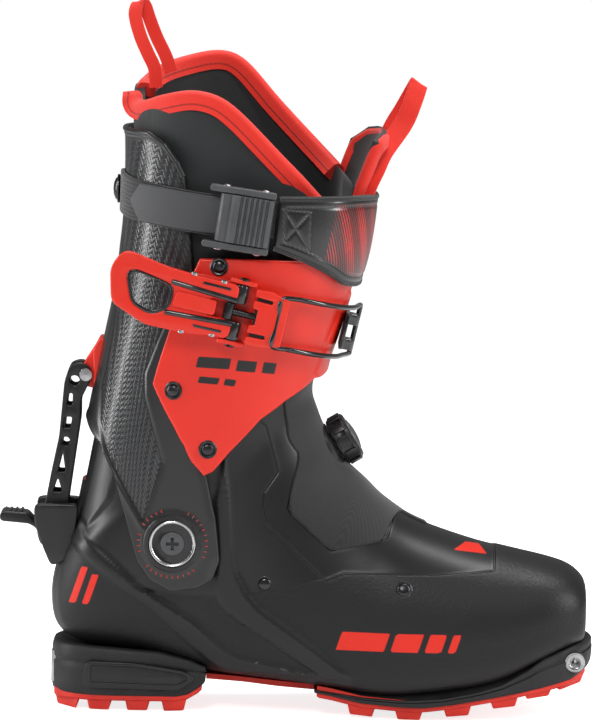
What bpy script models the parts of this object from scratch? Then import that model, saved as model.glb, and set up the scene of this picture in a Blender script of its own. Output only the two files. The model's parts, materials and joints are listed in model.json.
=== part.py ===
"""Alpine touring boot, right foot: sole, shell, cuff, liner, closures and walk mode, one object each.

Design frame: +X toe, +Y inner side of the foot, +Z up, mid-plane of the sole at Y = 0 and the ground
at Z = 0. Lengths in the functions are millimetres; meshes and places are stored in metres.
"""
import math

import bmesh
import bpy
import numpy as np
from mathutils import Matrix, Vector

MM = 0.001
GAP = 0.3                      # clearance between touching pieces
ORIGIN = (1.5, 3.7)            # shift that puts the middle of the whole boot's box over the origin

# shell: front/top edge, back/bottom edge, half width, widest place, front and back squareness
SHELL_WALL = 3.5
SHELL_STATIONS = [
    ((157.6, 69.0), (157.6, 47.0), 22.0, 0.00, 2.6, 3.5),
    ((156.3, 74.0), (156.3, 42.5), 31.5, -0.05, 2.6, 3.8),
    ((149.1, 80.1), (150.0, 40.4), 38.5, -0.15, 2.5, 4.5),
    ((137.4, 84.3), (136.0, 34.5), 44.5, -0.25, 2.4, 5.5),
    ((115.9, 89.3), (112.0, 22.6), 49.0, -0.35, 2.3, 6.5),
    ((94.3, 94.4), (88.0, 16.6), 51.5, -0.35, 2.2, 6.5),
    ((63.8, 104.8), (52.0, 12.4), 51.5, -0.35, 2.2, 6.5),
    ((46.5, 115.4), (22.0, 14.5), 48.0, -0.35, 2.2, 5.5),
    ((34.8, 126.2), (-10.0, 17.5), 44.5, -0.30, 2.2, 4.5),
    ((21.8, 138.2), (-48.0, 21.0), 42.0, -0.15, 2.2, 3.8),
    ((12.0, 153.6), (-86.0, 29.5), 41.8, -0.05, 2.3, 3.2),
    ((7.0, 165.2), (-119.0, 34.0), 42.4, 0.00, 2.5, 2.9),
    ((4.8, 171.5), (-133.0, 43.0), 42.8, 0.00, 2.6, 2.6),
    ((4.4, 176.0), (-136.6, 60.0), 43.0, 0.00, 2.7, 2.4),
    ((4.6, 179.0), (-134.0, 78.0), 43.2, 0.00, 2.8, 2.3),
    ((5.0, 181.0), (-127.0, 95.0), 43.2, 0.00, 2.8, 2.2),
    ((5.2, 182.5), (-122.5, 114.0), 43.2, 0.00, 2.8, 2.15),
    ((5.4, 184.0), (-116.0, 150.0), 43.2, 0.00, 2.8, 2.1),
]

# liner: foot part follows the shell, shaft part follows the cuff; (front), (back), half width
LINER_WALL = 6.0
LINER_INSET = 5.8
LINER_RAISE = 6.0              # room under the liner for the boot board
LINER_SHAFT = [
    ((-4.0, 180.0), (-117.0, 112.0), 34.0),
    ((-7.0, 186.0), (-109.0, 135.0), 32.0),
    ((-6.0, 193.0), (-103.5, 156.0), 32.0),
    ((1.0, 205.0), (-102.0, 182.0), 35.6),
    ((12.0, 223.0), (-98.5, 209.0), 41.0),
    ((18.5, 246.0), (-96.0, 241.0), 45.4),
    ((23.5, 270.0), (-95.4, 272.0), 48.8),
    ((26.5, 300.0), (-95.4, 305.0), 50.0),
    ((29.0, 330.0), (-95.6, 335.0), 50.4),
    ((31.0, 356.0), (-95.8, 357.0), 50.6),
]

# cuff skin: height, front x, back x, half width of the horizontal section
CUFF_STATIONS = [
    (60.0, 8.0, -124.0, 48.2),
    (95.0, 6.0, -123.0, 48.4),
    (140.0, 4.0, -120.5, 49.4),
    (186.0, 9.4, -112.5, 51.0),
    (208.0, 15.6, -108.0, 52.2),
    (229.0, 21.6, -104.0, 53.2),
    (250.0, 27.0, -101.5, 54.2),
    (272.0, 30.5, -100.0, 54.8),
    (300.0, 34.0, -99.6, 55.2),
    (322.0, 36.0, -100.0, 55.4),
]
CUFF_SQUARENESS = 2.5
CUFF_WALL = 3.2
FLAP_WALL = 2.6

PIVOT = (-69.0, 95.0)          # ankle axis, parallel to Y
PIVOT_SHANK = 5.0
INTERFACE_RADIUS = 45.0        # liner collar and liner shaft meet on this cylinder about the ankle

COLOURS = {
    "black_plastic": ((0.018, 0.018, 0.020), 0.42, 0.0),
    "soft_black": ((0.020, 0.020, 0.022), 0.70, 0.0),
    "carbon": ((0.030, 0.031, 0.034), 0.30, 0.0),
    "red_plastic": ((0.78, 0.045, 0.012), 0.40, 0.0),
    "red_rubber": ((0.80, 0.060, 0.025), 0.60, 0.0),
    "red_webbing": ((0.80, 0.040, 0.015), 0.85, 0.0),
    "steel": ((0.62, 0.63, 0.65), 0.28, 1.0),
    "dark_steel": ((0.10, 0.10, 0.11), 0.30, 1.0),
    "grey_plastic": ((0.055, 0.058, 0.062), 0.45, 0.0),
    "liner_foam": ((0.026, 0.026, 0.028), 0.85, 0.0),
    "webbing": ((0.022, 0.022, 0.024), 0.80, 0.0),
}


# ---------------------------------------------------------------- scene and mesh helpers
def clear_scene():
    for old in list(bpy.data.objects):
        bpy.data.objects.remove(old, do_unlink=True)
    for old in list(bpy.data.collections):
        bpy.data.collections.remove(old)


clear_scene()
PARTS = bpy.data.collections.new("touring_boot")
CUTTERS = bpy.data.collections.new("cutters")
for holder in (PARTS, CUTTERS):
    bpy.context.scene.collection.children.link(holder)
ROOT = bpy.data.objects.new("boot_origin", None)
ROOT.location = (ORIGIN[0] * MM, ORIGIN[1] * MM, 0.0)
PARTS.objects.link(ROOT)


def material(key):
    """Principled material for one of the finishes, made once."""
    found = bpy.data.materials.get(key)
    if found:
        return found
    colour, roughness, metallic = COLOURS[key]
    made = bpy.data.materials.new(key)
    made.use_nodes = True
    shader = made.node_tree.nodes["Principled BSDF"]
    shader.inputs["Base Color"].default_value = (*colour, 1.0)
    shader.inputs["Roughness"].default_value = roughness
    shader.inputs["Metallic"].default_value = metallic
    made.diffuse_color = (*colour, 1.0)
    return made


def finish(name, mesh, finish_key, origin=(0.0, 0.0, 0.0)):
    """Link a mesh given in design millimetres as one part with its origin at the given point."""
    offset = Vector(origin)
    mesh.transform(Matrix.Scale(MM, 4) @ Matrix.Translation(-offset))
    part = bpy.data.objects.new(name, mesh)
    part.location = offset * MM
    part.parent = ROOT
    mesh.materials.clear()
    mesh.materials.append(material(finish_key))
    mesh.shade_smooth()
    mesh.set_sharp_from_angle(angle=math.radians(35.0))
    PARTS.objects.link(part)
    return part


def mesh_from_bmesh(name, shape):
    bmesh.ops.recalc_face_normals(shape, faces=shape.faces)
    mesh = bpy.data.meshes.new(name)
    shape.to_mesh(mesh)
    shape.free()
    return mesh


def cutter(name, mesh):
    """Link a mesh as a hidden cutter that moves with the boot."""
    mesh.transform(Matrix.Scale(MM, 4))
    tool = bpy.data.objects.new(name, mesh)
    tool.parent = ROOT
    tool.hide_render = True
    tool.display_type = "WIRE"
    CUTTERS.objects.link(tool)
    return tool


def boolean(part, tool, operation="DIFFERENCE"):
    cut = part.modifiers.new(tool.name, "BOOLEAN")
    cut.operation = operation
    cut.solver = "EXACT"
    cut.object = tool


def solidify(part, thickness, offset=-1.0):
    wall = part.modifiers.new("wall", "SOLIDIFY")
    wall.thickness = thickness * MM
    wall.offset = offset
    wall.use_even_offset = False


def grid_mesh(name, points, close_u=False, cap_start=False):
    """Quads over an array of points (rows, columns, 3), facing away from the array's middle."""
    rows, columns = points.shape[:2]
    shape = bmesh.new()
    verts = [shape.verts.new(p) for p in points.reshape(-1, 3)]
    last = columns if close_u else columns - 1
    for row in range(rows - 1):
        for col in range(last):
            nxt = (col + 1) % columns
            shape.faces.new((verts[row * columns + col], verts[row * columns + nxt],
                             verts[(row + 1) * columns + nxt], verts[(row + 1) * columns + col]))
    if cap_start:
        shape.faces.new([verts[col] for col in range(columns)])
    mesh = mesh_from_bmesh(name, shape)
    return mesh


def prism(name, outline, low, high, plane="XZ"):
    """Closed prism of a flat outline: in XZ it is extruded along Y, in XY along Z."""
    curve = bpy.data.curves.new(name, "CURVE")
    curve.dimensions = "2D"
    curve.fill_mode = "BOTH"
    curve.extrude = (high - low) / 2.0
    line = curve.splines.new("POLY")
    line.points.add(len(outline) - 1)
    for point, (a, b) in zip(line.points, outline):
        point.co = (a, b, 0.0, 1.0)
    line.use_cyclic_u = True
    drawn = bpy.data.objects.new(name, curve)
    mesh = bpy.data.meshes.new_from_object(drawn)
    bpy.data.objects.remove(drawn)
    bpy.data.curves.remove(curve)
    middle = (low + high) / 2.0
    if plane == "XZ":
        place = Matrix.Translation((0.0, middle, 0.0)) @ Matrix.Rotation(math.pi / 2.0, 4, "X")
    else:
        place = Matrix.Translation((0.0, 0.0, middle))
    shape = bmesh.new()
    shape.from_mesh(mesh)
    bmesh.ops.transform(shape, matrix=place, verts=shape.verts)
    bmesh.ops.remove_doubles(shape, verts=shape.verts, dist=0.01)
    bpy.data.meshes.remove(mesh)
    return mesh_from_bmesh(name, shape)


def box(name, low, high):
    low, high = Vector(low), Vector(high)
    shape = bmesh.new()
    place = Matrix.Translation((low + high) / 2.0) @ Matrix.Diagonal((*(high - low), 1.0))
    bmesh.ops.create_cube(shape, size=1.0, matrix=place)
    return mesh_from_bmesh(name, shape)


def rod(name, start, end, radius, segments=16, radius_end=None):
    """Cylinder or cone between two points."""
    start, end = Vector(start), Vector(end)
    turn = (end - start).to_track_quat("Z", "Y").to_matrix().to_4x4()
    shape = bmesh.new()
    bmesh.ops.create_cone(
        shape, cap_ends=True, segments=segments, radius1=radius,
        radius2=radius if radius_end is None else radius_end, depth=(end - start).length,
        matrix=Matrix.Translation((start + end) / 2.0) @ turn)
    return mesh_from_bmesh(name, shape)


def turned(name, profile, start, axis, segments=20):
    """Solid of revolution: (radius, distance) points run along the axis from the start point."""
    axis = Vector(axis).normalized()
    turn = axis.to_track_quat("Z", "Y").to_matrix()
    angles = np.linspace(0.0, 2.0 * math.pi, segments, endpoint=False)
    shape = bmesh.new()
    rings = []
    for radius, distance in profile:
        if radius < 0.01:
            rings.append([shape.verts.new(Vector(start) + axis * distance)])
            continue
        rings.append([shape.verts.new(Vector(start) + turn @ Vector(
            (radius * math.cos(a), radius * math.sin(a), distance))) for a in angles])
    pairs = list(zip(rings[:-1], rings[1:]))
    if len(rings[0]) > 1:
        pairs.append((rings[-1], rings[0]))
    for first, second in pairs:
        for k in range(segments):
            corner = [first[k % len(first)], first[(k + 1) % len(first)],
                      second[(k + 1) % len(second)], second[k % len(second)]]
            unique = list(dict.fromkeys(corner))
            if len(unique) > 2:
                shape.faces.new(unique)
    return mesh_from_bmesh(name, shape)


def catmull(rows, count):
    """Smooth curve through the rows of a table, sampled evenly in the row number."""
    table = np.asarray(rows, dtype=float)
    spots = np.linspace(0.0, len(table) - 1.0, count)
    seat = np.minimum(spots.astype(int), len(table) - 2)
    part = (spots - seat)[:, None]
    before = table[np.maximum(seat - 1, 0)]
    here, there = table[seat], table[seat + 1]
    after = table[np.minimum(seat + 2, len(table) - 1)]
    return 0.5 * (2 * here + (there - before) * part
                  + (2 * before - 5 * here + 4 * there - after) * part ** 2
                  + (3 * here - before - 3 * there + after) * part ** 3)


def sweep(name, path, half_width, half_thickness, across, closed=False):
    """Flat strip of rectangular section along a path; across gives the width direction per point."""
    path = np.asarray(path, dtype=float)
    across = np.asarray(across, dtype=float)
    if across.ndim == 1:
        across = np.repeat(across[None, :], len(path), axis=0)
    across = across / np.linalg.norm(across, axis=1)[:, None]
    along = np.gradient(path, axis=0)
    if closed:
        along = np.roll(path, -1, axis=0) - np.roll(path, 1, axis=0)
    normal = np.cross(along, across)
    normal = normal / np.linalg.norm(normal, axis=1)[:, None]
    shape = bmesh.new()
    rings = []
    for p, w, n in zip(path, across, normal):
        rings.append([shape.verts.new(p + w * half_width * a + n * half_thickness * b)
                      for a, b in ((-1, -1), (1, -1), (1, 1), (-1, 1))])
    pairs = list(zip(rings[:-1], rings[1:]))
    if closed:
        pairs.append((rings[-1], rings[0]))
    for first, second in pairs:
        for k in range(4):
            shape.faces.new((first[k], first[(k + 1) % 4], second[(k + 1) % 4], second[k]))
    if not closed:
        shape.faces.new(rings[0])
        shape.faces.new(rings[-1])
    return mesh_from_bmesh(name, shape)


def wire(name, path, radius, finish_key, origin, closed=False):
    """Round wire along points, as a part with its origin on its joint axis."""
    curve = bpy.data.curves.new(name, "CURVE")
    curve.dimensions = "3D"
    curve.bevel_depth = radius
    curve.bevel_resolution = 2
    curve.use_fill_caps = True
    line = curve.splines.new("POLY")
    line.points.add(len(path) - 1)
    for point, place in zip(line.points, path):
        point.co = (*place, 1.0)
    line.use_cyclic_u = closed
    drawn = bpy.data.objects.new(name, curve)
    mesh = bpy.data.meshes.new_from_object(drawn)
    bpy.data.objects.remove(drawn)
    bpy.data.curves.remove(curve)
    shape = bmesh.new()
    shape.from_mesh(mesh)
    bmesh.ops.remove_doubles(shape, verts=shape.verts, dist=0.01)
    bpy.data.meshes.remove(mesh)
    return finish(name, mesh_from_bmesh(name, shape), finish_key, origin)


def arc_points(centre, radius, start, end, count):
    """Points on an arc about a centre in the XZ plane, angles in degrees from +X."""
    return [(centre[0] + radius * math.cos(math.radians(a)),
             centre[1] + radius * math.sin(math.radians(a)))
            for a in np.linspace(start, end, count)]


# ---------------------------------------------------------------- body surfaces
def inset_stations(stations, inset, raise_back=0.0):
    """Move both edges of every section inward; the toe's flat end moves back by the same amount."""
    moved = []
    toe_share = [1.0, 0.95, 0.6, 0.3]
    for number, (front, back, half, widest, front_n, back_n) in enumerate(stations):
        f, b = np.array(front), np.array(back)
        along = (f - b) / np.linalg.norm(f - b)
        share = toe_share[number] if number < len(toe_share) else 0.0
        shift = np.array((-inset * share, 0.0))
        moved.append(((f - along * inset + shift), (b + along * (inset + raise_back) + shift),
                      half - inset, widest, front_n, back_n))
    return moved


def fan_surface(stations, sections, around):
    """Closed rings on section planes that turn from the toe over the instep to the shaft."""
    table = [[*f, *b, h, w, nf, nb] for f, b, h, w, nf, nb in stations]
    smooth = catmull(table, sections)
    front, back = smooth[:, 0:2], smooth[:, 2:4]
    half, widest, front_n, back_n = (smooth[:, k][:, None] for k in range(4, 8))
    theta = np.linspace(0.0, 2.0 * math.pi, around, endpoint=False)[None, :]
    ahead = np.cos(theta) >= 0.0
    power = 2.0 / np.where(ahead, front_n, back_n)
    reach = np.abs(np.cos(theta)) ** power
    along = np.where(ahead, widest + (1.0 - widest) * reach, widest - (1.0 + widest) * reach)
    side = -np.sign(np.sin(theta)) * half * np.abs(np.sin(theta)) ** power
    middle, axis = (front + back) / 2.0, (front - back) / 2.0
    x = middle[:, 0:1] + axis[:, 0:1] * along
    z = middle[:, 1:2] + axis[:, 1:2] * along
    return np.stack([x, side, z], axis=2)


SHELL_DENSE = fan_surface(SHELL_STATIONS, 240, 240)


def shell_spot(x, z, side):
    """Point and outward normal of the shell where its side view shows (x, z)."""
    half = SHELL_DENSE[:, 1:119] if side < 0 else SHELL_DENSE[:, 121:239]
    away = (half[1:-1, 1:-1, 0] - x) ** 2 + (half[1:-1, 1:-1, 2] - z) ** 2
    row, col = np.unravel_index(np.argmin(away), away.shape)
    row, col = row + 1, col + 1
    down = half[row + 1, col] - half[row - 1, col]
    across = half[row, col + 1] - half[row, col - 1]
    normal = np.cross(down, across)
    normal = normal / np.linalg.norm(normal)
    if normal[1] * side < 0.0:
        normal = -normal
    return half[row, col], normal


CUFF_DENSE = catmull(CUFF_STATIONS, 400)


def cuff_section(z):
    """Centre x, half depth and half width of the cuff skin at a height."""
    front, back, half = (np.interp(z, CUFF_DENSE[:, 0], CUFF_DENSE[:, k]) for k in (1, 2, 3))
    return (front + back) / 2.0, (front - back) / 2.0, half


def cuff_surface(turn, z, offset):
    """Points of the cuff skin: turn 0 front, 90 outer side, 180 back, 270 inner side."""
    centre, depth, half = cuff_section(z)
    theta = np.radians(turn)
    power = 2.0 / CUFF_SQUARENESS
    x = centre + (depth + offset) * np.sign(np.cos(theta)) * np.abs(np.cos(theta)) ** power
    y = -(half + offset) * np.sign(np.sin(theta)) * np.abs(np.sin(theta)) ** power
    return np.stack([x, y, np.broadcast_to(z, x.shape)], axis=-1)


def cuff_turn(x, z):
    """Turn on the outer side at which the skin has the given x."""
    centre, depth, _ = cuff_section(z)
    share = np.clip((x - centre) / depth, -1.0, 1.0)
    return np.degrees(np.arccos(np.sign(share) * np.abs(share) ** (CUFF_SQUARENESS / 2.0)))


def side_line(points):
    """Side-view points (x, z) of the outer side as (turn, z)."""
    return [(float(cuff_turn(x, z)), z) for x, z in points]


def mirror_line(points):
    return [(360.0 - turn, z) for turn, z in points]


def resample(line, count):
    """Evenly spaced points of a polyline in (turn, z); a degree counts as about a millimetre."""
    line = np.asarray(line, dtype=float)
    length = np.concatenate([[0.0], np.cumsum(np.linalg.norm(np.diff(line, axis=0), axis=1))])
    spots = np.linspace(0.0, length[-1], count)
    return np.stack([np.interp(spots, length, line[:, k]) for k in (0, 1)], axis=1)


def coons(bottom, top, left, right, columns, rows):
    """Patch between four edge lines: bottom and top run left to right, the sides run upward."""
    low, high = resample(bottom, columns)[None], resample(top, columns)[None]
    start, end = resample(left, rows)[:, None], resample(right, rows)[:, None]
    u = np.linspace(0.0, 1.0, columns)[None, :, None]
    v = np.linspace(0.0, 1.0, rows)[:, None, None]
    corners = ((1 - u) * (1 - v) * low[:, :1] + u * (1 - v) * low[:, -1:]
               + (1 - u) * v * high[:, :1] + u * v * high[:, -1:])
    return (1 - v) * low + v * high + (1 - u) * start + u * end - corners


def cuff_patch(name, finish_key, edges, columns, rows, outer, wall):
    """Curved plate whose outer face stands a given distance off the cuff skin."""
    spots = coons(*edges, columns, rows)
    points = cuff_surface(spots[..., 0], spots[..., 1], outer)
    mesh = grid_mesh(name, points)
    centre = points.reshape(-1, 3).mean(axis=0)
    outward = sum(((Vector(f.center) - Vector((-50.0, 0.0, centre[2]))).dot(f.normal)
                   for f in mesh.polygons), 0.0)
    if outward < 0.0:
        mesh.flip_normals()
    part = finish(name, mesh, finish_key, (PIVOT[0], 0.0, PIVOT[1]))
    solidify(part, wall)
    return part


# ---------------------------------------------------------------- lower shell, boards and liner foot
SHELL_SECTIONS = 22            # every surface that lies on the shell uses the same rows and columns
SHELL_AROUND = 22


def shell_hull():
    """Closed solid a little larger than the shell's outer form, for cutting its neighbours."""
    found = bpy.data.objects.get("shell_hull")
    if found:
        return found
    name = "shell_hull"
    points = fan_surface(inset_stations(SHELL_STATIONS, -GAP - 0.2), SHELL_SECTIONS, SHELL_AROUND)
    mesh = grid_mesh(name, points, close_u=True, cap_start=True)
    shape = bmesh.new()
    shape.from_mesh(mesh)
    bmesh.ops.holes_fill(shape, edges=[e for e in shape.edges if e.is_boundary], sides=0)
    bpy.data.meshes.remove(mesh)
    return cutter(name, mesh_from_bmesh(name, shape))


# hidden notch in the shell's sides that leaves the cuff and the liner room to flex
COLLAR_NOTCH = [(-90, 118), (-60, 121), (-55, 138), (-37, 167), (-25, 179), (-15, 195), (-107, 195), (-105, 160),
                (-100.5, 146), (-93.5, 134)]


def make_lower_shell():
    points = fan_surface(SHELL_STATIONS, SHELL_SECTIONS, SHELL_AROUND)
    mesh = grid_mesh("lower_shell", points, close_u=True, cap_start=True)
    outward = sum((f.normal.z * (f.center.z - 60.0) for f in mesh.polygons), 0.0)
    if outward < 0.0:
        mesh.flip_normals()
    part = finish("lower_shell", mesh, "black_plastic")
    solidify(part, SHELL_WALL)
    hole = PIVOT_SHANK + GAP
    boolean(part, cutter("ankle_bore", rod("ankle_bore", (PIVOT[0], -70, PIVOT[1]),
                                           (PIVOT[0], 70, PIVOT[1]), hole, 16)))
    boolean(part, cutter("collar_notch", prism("collar_notch", COLLAR_NOTCH, -80, 80)))
    boolean(part, cutter("bar_notch", box("bar_notch", (-135, -12.5, 124), (-100, 12.5, 170))))
    return part


RIVET_SPOTS = [(-19.0, 73.0), (57.0, 72.0)]


def dome_rivet(name, place, normal, finish_key, depth=3.2):
    """Dome-headed rivet: head proud of the surface, shank through the wall; returns the part."""
    profile = [(0.0, -depth), (1.7, -depth), (1.7, 0.45), (3.7, 0.45), (3.5, 1.2), (2.2, 1.9), (0.0, 2.1)]
    return finish(name, turned(name, profile, place, normal, 8), finish_key)


def make_shell_rivets(shell):
    number = 0
    for side in (-1, 1):
        for x, z in RIVET_SPOTS:
            number += 1
            place, normal = shell_spot(x, z, side)
            place, normal = Vector(place), Vector(normal)
            hole = rod(f"rivet_bore_{number}", place - normal * 12, place + normal * 6, 1.7 + GAP, 10)
            boolean(shell, cutter(f"rivet_bore_{number}", hole))
            dome_rivet(f"shell_rivet_{number}", place, normal, "dark_steel")


def floor_patch(name, finish_key, inset, wall, first=8, last=15, spread=2):
    """Plate that lies on the inside floor of the shell, between two of its section rows."""
    base = fan_surface(inset_stations(SHELL_STATIONS, inset), SHELL_SECTIONS, SHELL_AROUND)
    middle = SHELL_AROUND // 2
    points = base[first:last, middle - spread:middle + spread + 1]
    mesh = grid_mesh(name, points)
    if sum((f.normal.z for f in mesh.polygons), 0.0) > 0.0:
        mesh.flip_normals()
    part = finish(name, mesh, finish_key)
    solidify(part, wall)
    return part


def liner_surface(inset, raise_back, around=18, sections=30):
    foot = inset_stations(SHELL_STATIONS[:15], LINER_INSET + inset, LINER_RAISE + raise_back)
    shaft = []
    for front, back, half in LINER_SHAFT:
        f, b = np.array(front), np.array(back)
        along = (f - b) / np.linalg.norm(f - b)
        shaft.append((f - along * inset, b + along * inset, half - inset, 0.0, 2.4, 2.4))
    return fan_surface(foot + shaft, sections, around)


def liner_tube(name):
    """Whole liner, toe to top rim, as one closed wall."""
    outer = liner_surface(0.0, 0.0)
    inner = liner_surface(LINER_WALL, 0.0)
    rows, columns = outer.shape[:2]
    shape = bmesh.new()
    skins = [[shape.verts.new(p) for p in skin.reshape(-1, 3)] for skin in (outer, inner)]
    for skin in skins:
        for row in range(rows - 1):
            for col in range(columns):
                nxt = (col + 1) % columns
                shape.faces.new((skin[row * columns + col], skin[row * columns + nxt],
                                 skin[(row + 1) * columns + nxt], skin[(row + 1) * columns + col]))
        shape.faces.new([skin[col] for col in range(columns)])
    top = (rows - 1) * columns
    for col in range(columns):
        nxt = (col + 1) % columns
        shape.faces.new((skins[0][top + col], skins[0][top + nxt], skins[1][top + nxt], skins[1][top + col]))
    return mesh_from_bmesh(name, shape)


def polar(radius, angle):
    return (PIVOT[0] + radius * math.cos(math.radians(angle)),
            PIVOT[1] + radius * math.sin(math.radians(angle)))


LINER_TOP_OUTER = [(-130, 341), (-95, 341), (-80, 340.5), (-65, 339), (-51.5, 333.6), (-28, 308),
                   (-3.7, 283), (6, 279), (60, 276)]
LINER_TOP_INNER = [(-130, 341), (-95, 341), (-80, 348), (-64, 352), (-52, 350), (-28, 329),
                   (-4, 308), (14, 290), (30, 277), (60, 276)]


def make_liner():
    foot = finish("liner_foot", liner_tube("liner_foot"), "liner_foam")
    keep = [(220, 0), (220, 200), (40, 200), polar(114, 48)]
    keep += arc_points(PIVOT, INTERFACE_RADIUS - 1.2, 48, 130, 10)
    keep += [polar(90, 130), (-150, 190), (-200, 190), (-200, 0)]
    boolean(foot, cutter("liner_foot_keep", prism("liner_foot_keep", keep, -80, 80)), "INTERSECT")
    shaft = finish("liner_shaft", liner_tube("liner_shaft"), "liner_foam", (PIVOT[0], 0.0, PIVOT[1]))
    keep = [polar(122, 71), (-8, 206), (25, 197), (70, 197), (70, 400), (-150, 400), polar(160, 116)]
    keep += arc_points(PIVOT, INTERFACE_RADIUS, 116, 71, 8)
    boolean(shaft, cutter("liner_shaft_keep", prism("liner_shaft_keep", keep, -80, 80)), "INTERSECT")
    for label, line, low, high in (("outer", LINER_TOP_OUTER, -80, 0), ("inner", LINER_TOP_INNER, 0, 80)):
        above = line + [(60, 420), (-130, 420)]
        trim = prism(f"liner_trim_{label}", above, low - 0.01 * (low == 0), high)
        boolean(shaft, cutter(f"liner_trim_{label}", trim))
    return foot, shaft


# ---------------------------------------------------------------- sole
HEEL_OUTLINE = [(-50, -33), (-75, -34), (-105, -34.5), (-120, -31), (-130, -23), (-134.5, -11), (-135, 0)]
FORE_OUTLINE = [(162.5, 0), (161.5, -10), (157.5, -22), (151, -31), (139, -37.5), (119, -44), (95, -47.5),
                (66, -48), (38, -44.5), (10, -38)]
RIM_BOTTOM = [(10, 12.6), (19, 11.4), (35, 8.3), (57, 7.0), (70, 7.0), (85, 9.0), (112, 13.8), (134, 18.0),
              (150, 21.7), (160, 27.0), (164, 33.0)]
LUG_HEIGHT = 6.4
FORE_LUGS = [(38.0, 1.2), (64.0, 0.0), (90.0, 2.8), (115.0, 7.6), (134.0, 13.0), (152.0, 17.6)]
HEEL_LUGS = [(-124.0, 0.0), (-105.0, 0.0), (-85.0, 0.0), (-64.0, 0.0)]


def both_sides(outline):
    """Half outline at -Y completed with its mirror at +Y."""
    return outline + [(x, -y) for x, y in reversed(outline) if abs(y) > 0.01]


def lug_profile(top_line, lugs, half_top, half_tip, depth):
    """Side outline of a sole: a thin base under the top line with tapered lugs below it."""
    xs, zs = zip(*top_line)
    below = []
    for x, tip in lugs:
        base_left = float(np.interp(x - half_top, xs, zs)) - depth
        base_right = float(np.interp(x + half_top, xs, zs)) - depth
        below += [(x - half_top, base_left), (x - half_tip, tip), (x + half_tip, tip), (x + half_top, base_right)]
    start, end = top_line[0], top_line[-1]
    outline = [(start[0], start[1] - depth)] + below + [(end[0], end[1] - depth * 0.6)]
    return outline + list(reversed([(x, z - GAP) for x, z in top_line]))


def make_sole():
    hull = shell_hull()
    heel_rim = finish("heel_rim", prism("heel_rim", both_sides(HEEL_OUTLINE), 7.8, 48, "XY"), "soft_black")
    heel_side = [(-140, 7.8), (-50, 7.8), (-50, 30), (-58, 30), (-100, 33.6), (-125, 35.5), (-140, 35.5)]
    boolean(heel_rim, cutter("heel_side", prism("heel_side", heel_side, -60, 60)), "INTERSECT")
    boolean(heel_rim, hull)
    fore_rim = finish("forefoot_rim", prism("forefoot_rim", both_sides(FORE_OUTLINE), 2, 46, "XY"),
                      "soft_black")
    fore_side = RIM_BOTTOM + [(164, 41.5), (150, 41), (134, 33.2), (112, 23.6), (90, 18.2), (72, 14.0),
                              (40, 14.0), (10, 17.0)]
    boolean(fore_rim, cutter("fore_side", prism("fore_side", fore_side, -60, 60)), "INTERSECT")
    boolean(fore_rim, hull)

    heel_top = [(-134, 7.8), (-50, 7.8)]
    heel = finish("heel_outsole", prism("heel_outsole", lug_profile(heel_top, HEEL_LUGS, 7.0, 5.2, 2.6),
                                        -40, 40), "red_rubber")
    heel_plan = [(x + 1.0, y * 0.97) for x, y in HEEL_OUTLINE]
    boolean(heel, cutter("heel_plan", prism("heel_plan", both_sides(heel_plan), -5, 20, "XY")), "INTERSECT")
    groove = box("heel_groove", (-118, -5.0, -2), (-56, 5.0, 3.4))
    boolean(heel, cutter("heel_groove", groove))
    fore_top = [(x, z) for x, z in RIM_BOTTOM if x < 162]
    fore = finish("forefoot_outsole", prism("forefoot_outsole",
                                            lug_profile(fore_top, FORE_LUGS, 8.2, 6.2, 2.4), -60, 60),
                  "red_rubber")
    fore_plan = [(x - 1.2 if x > 60 else x, y * 0.97) for x, y in FORE_OUTLINE]
    boolean(fore, cutter("fore_plan", prism("fore_plan", both_sides(fore_plan), -5, 50, "XY")), "INTERSECT")
    boolean(fore, cutter("fore_groove", box("fore_groove", (24, -6.0, -2), (100, 6.0, 3.6))))

    strip = [(-49.7, 16.4), (-30, 15.2), (-10, 13.0), (9.7, 11.6), (9.7, 14.4), (-10, 17.0 - 1.0), (-30, 17.9),
             (-49.7, 19.4)]
    arch = finish("arch_strip", prism("arch_strip", strip, -20, 20), "red_rubber")
    boolean(arch, hull)

    make_toe_fitting(fore_rim)
    make_heel_fitting(heel_rim)
    for side, label in ((-1, "outer"), (1, "inner")):
        make_heel_panel(label, side, heel_rim)
    return heel_rim, fore_rim


TOE_FITTING = (152.0, 31.0)
TOE_FITTING_REACH = 31.6


def make_toe_fitting(rim):
    """Steel bar across the toe with a conical socket in each end."""
    x, z = TOE_FITTING
    reach = TOE_FITTING_REACH
    profile = [(0.0, -reach + 4.0), (1.2, -reach + 3.4), (3.0, -reach), (5.2, -reach), (5.2, reach),
               (3.0, reach), (1.2, reach - 3.4), (0.0, reach - 4.0)]
    finish("toe_fitting", turned("toe_fitting", profile, (x, 0, z), (0, 1, 0), 20), "steel")
    bore = rod("toe_bore", (x, -60, z), (x, 60, z), 5.2 + GAP, 20)
    boolean(rim, cutter("toe_bore", bore))


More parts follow.
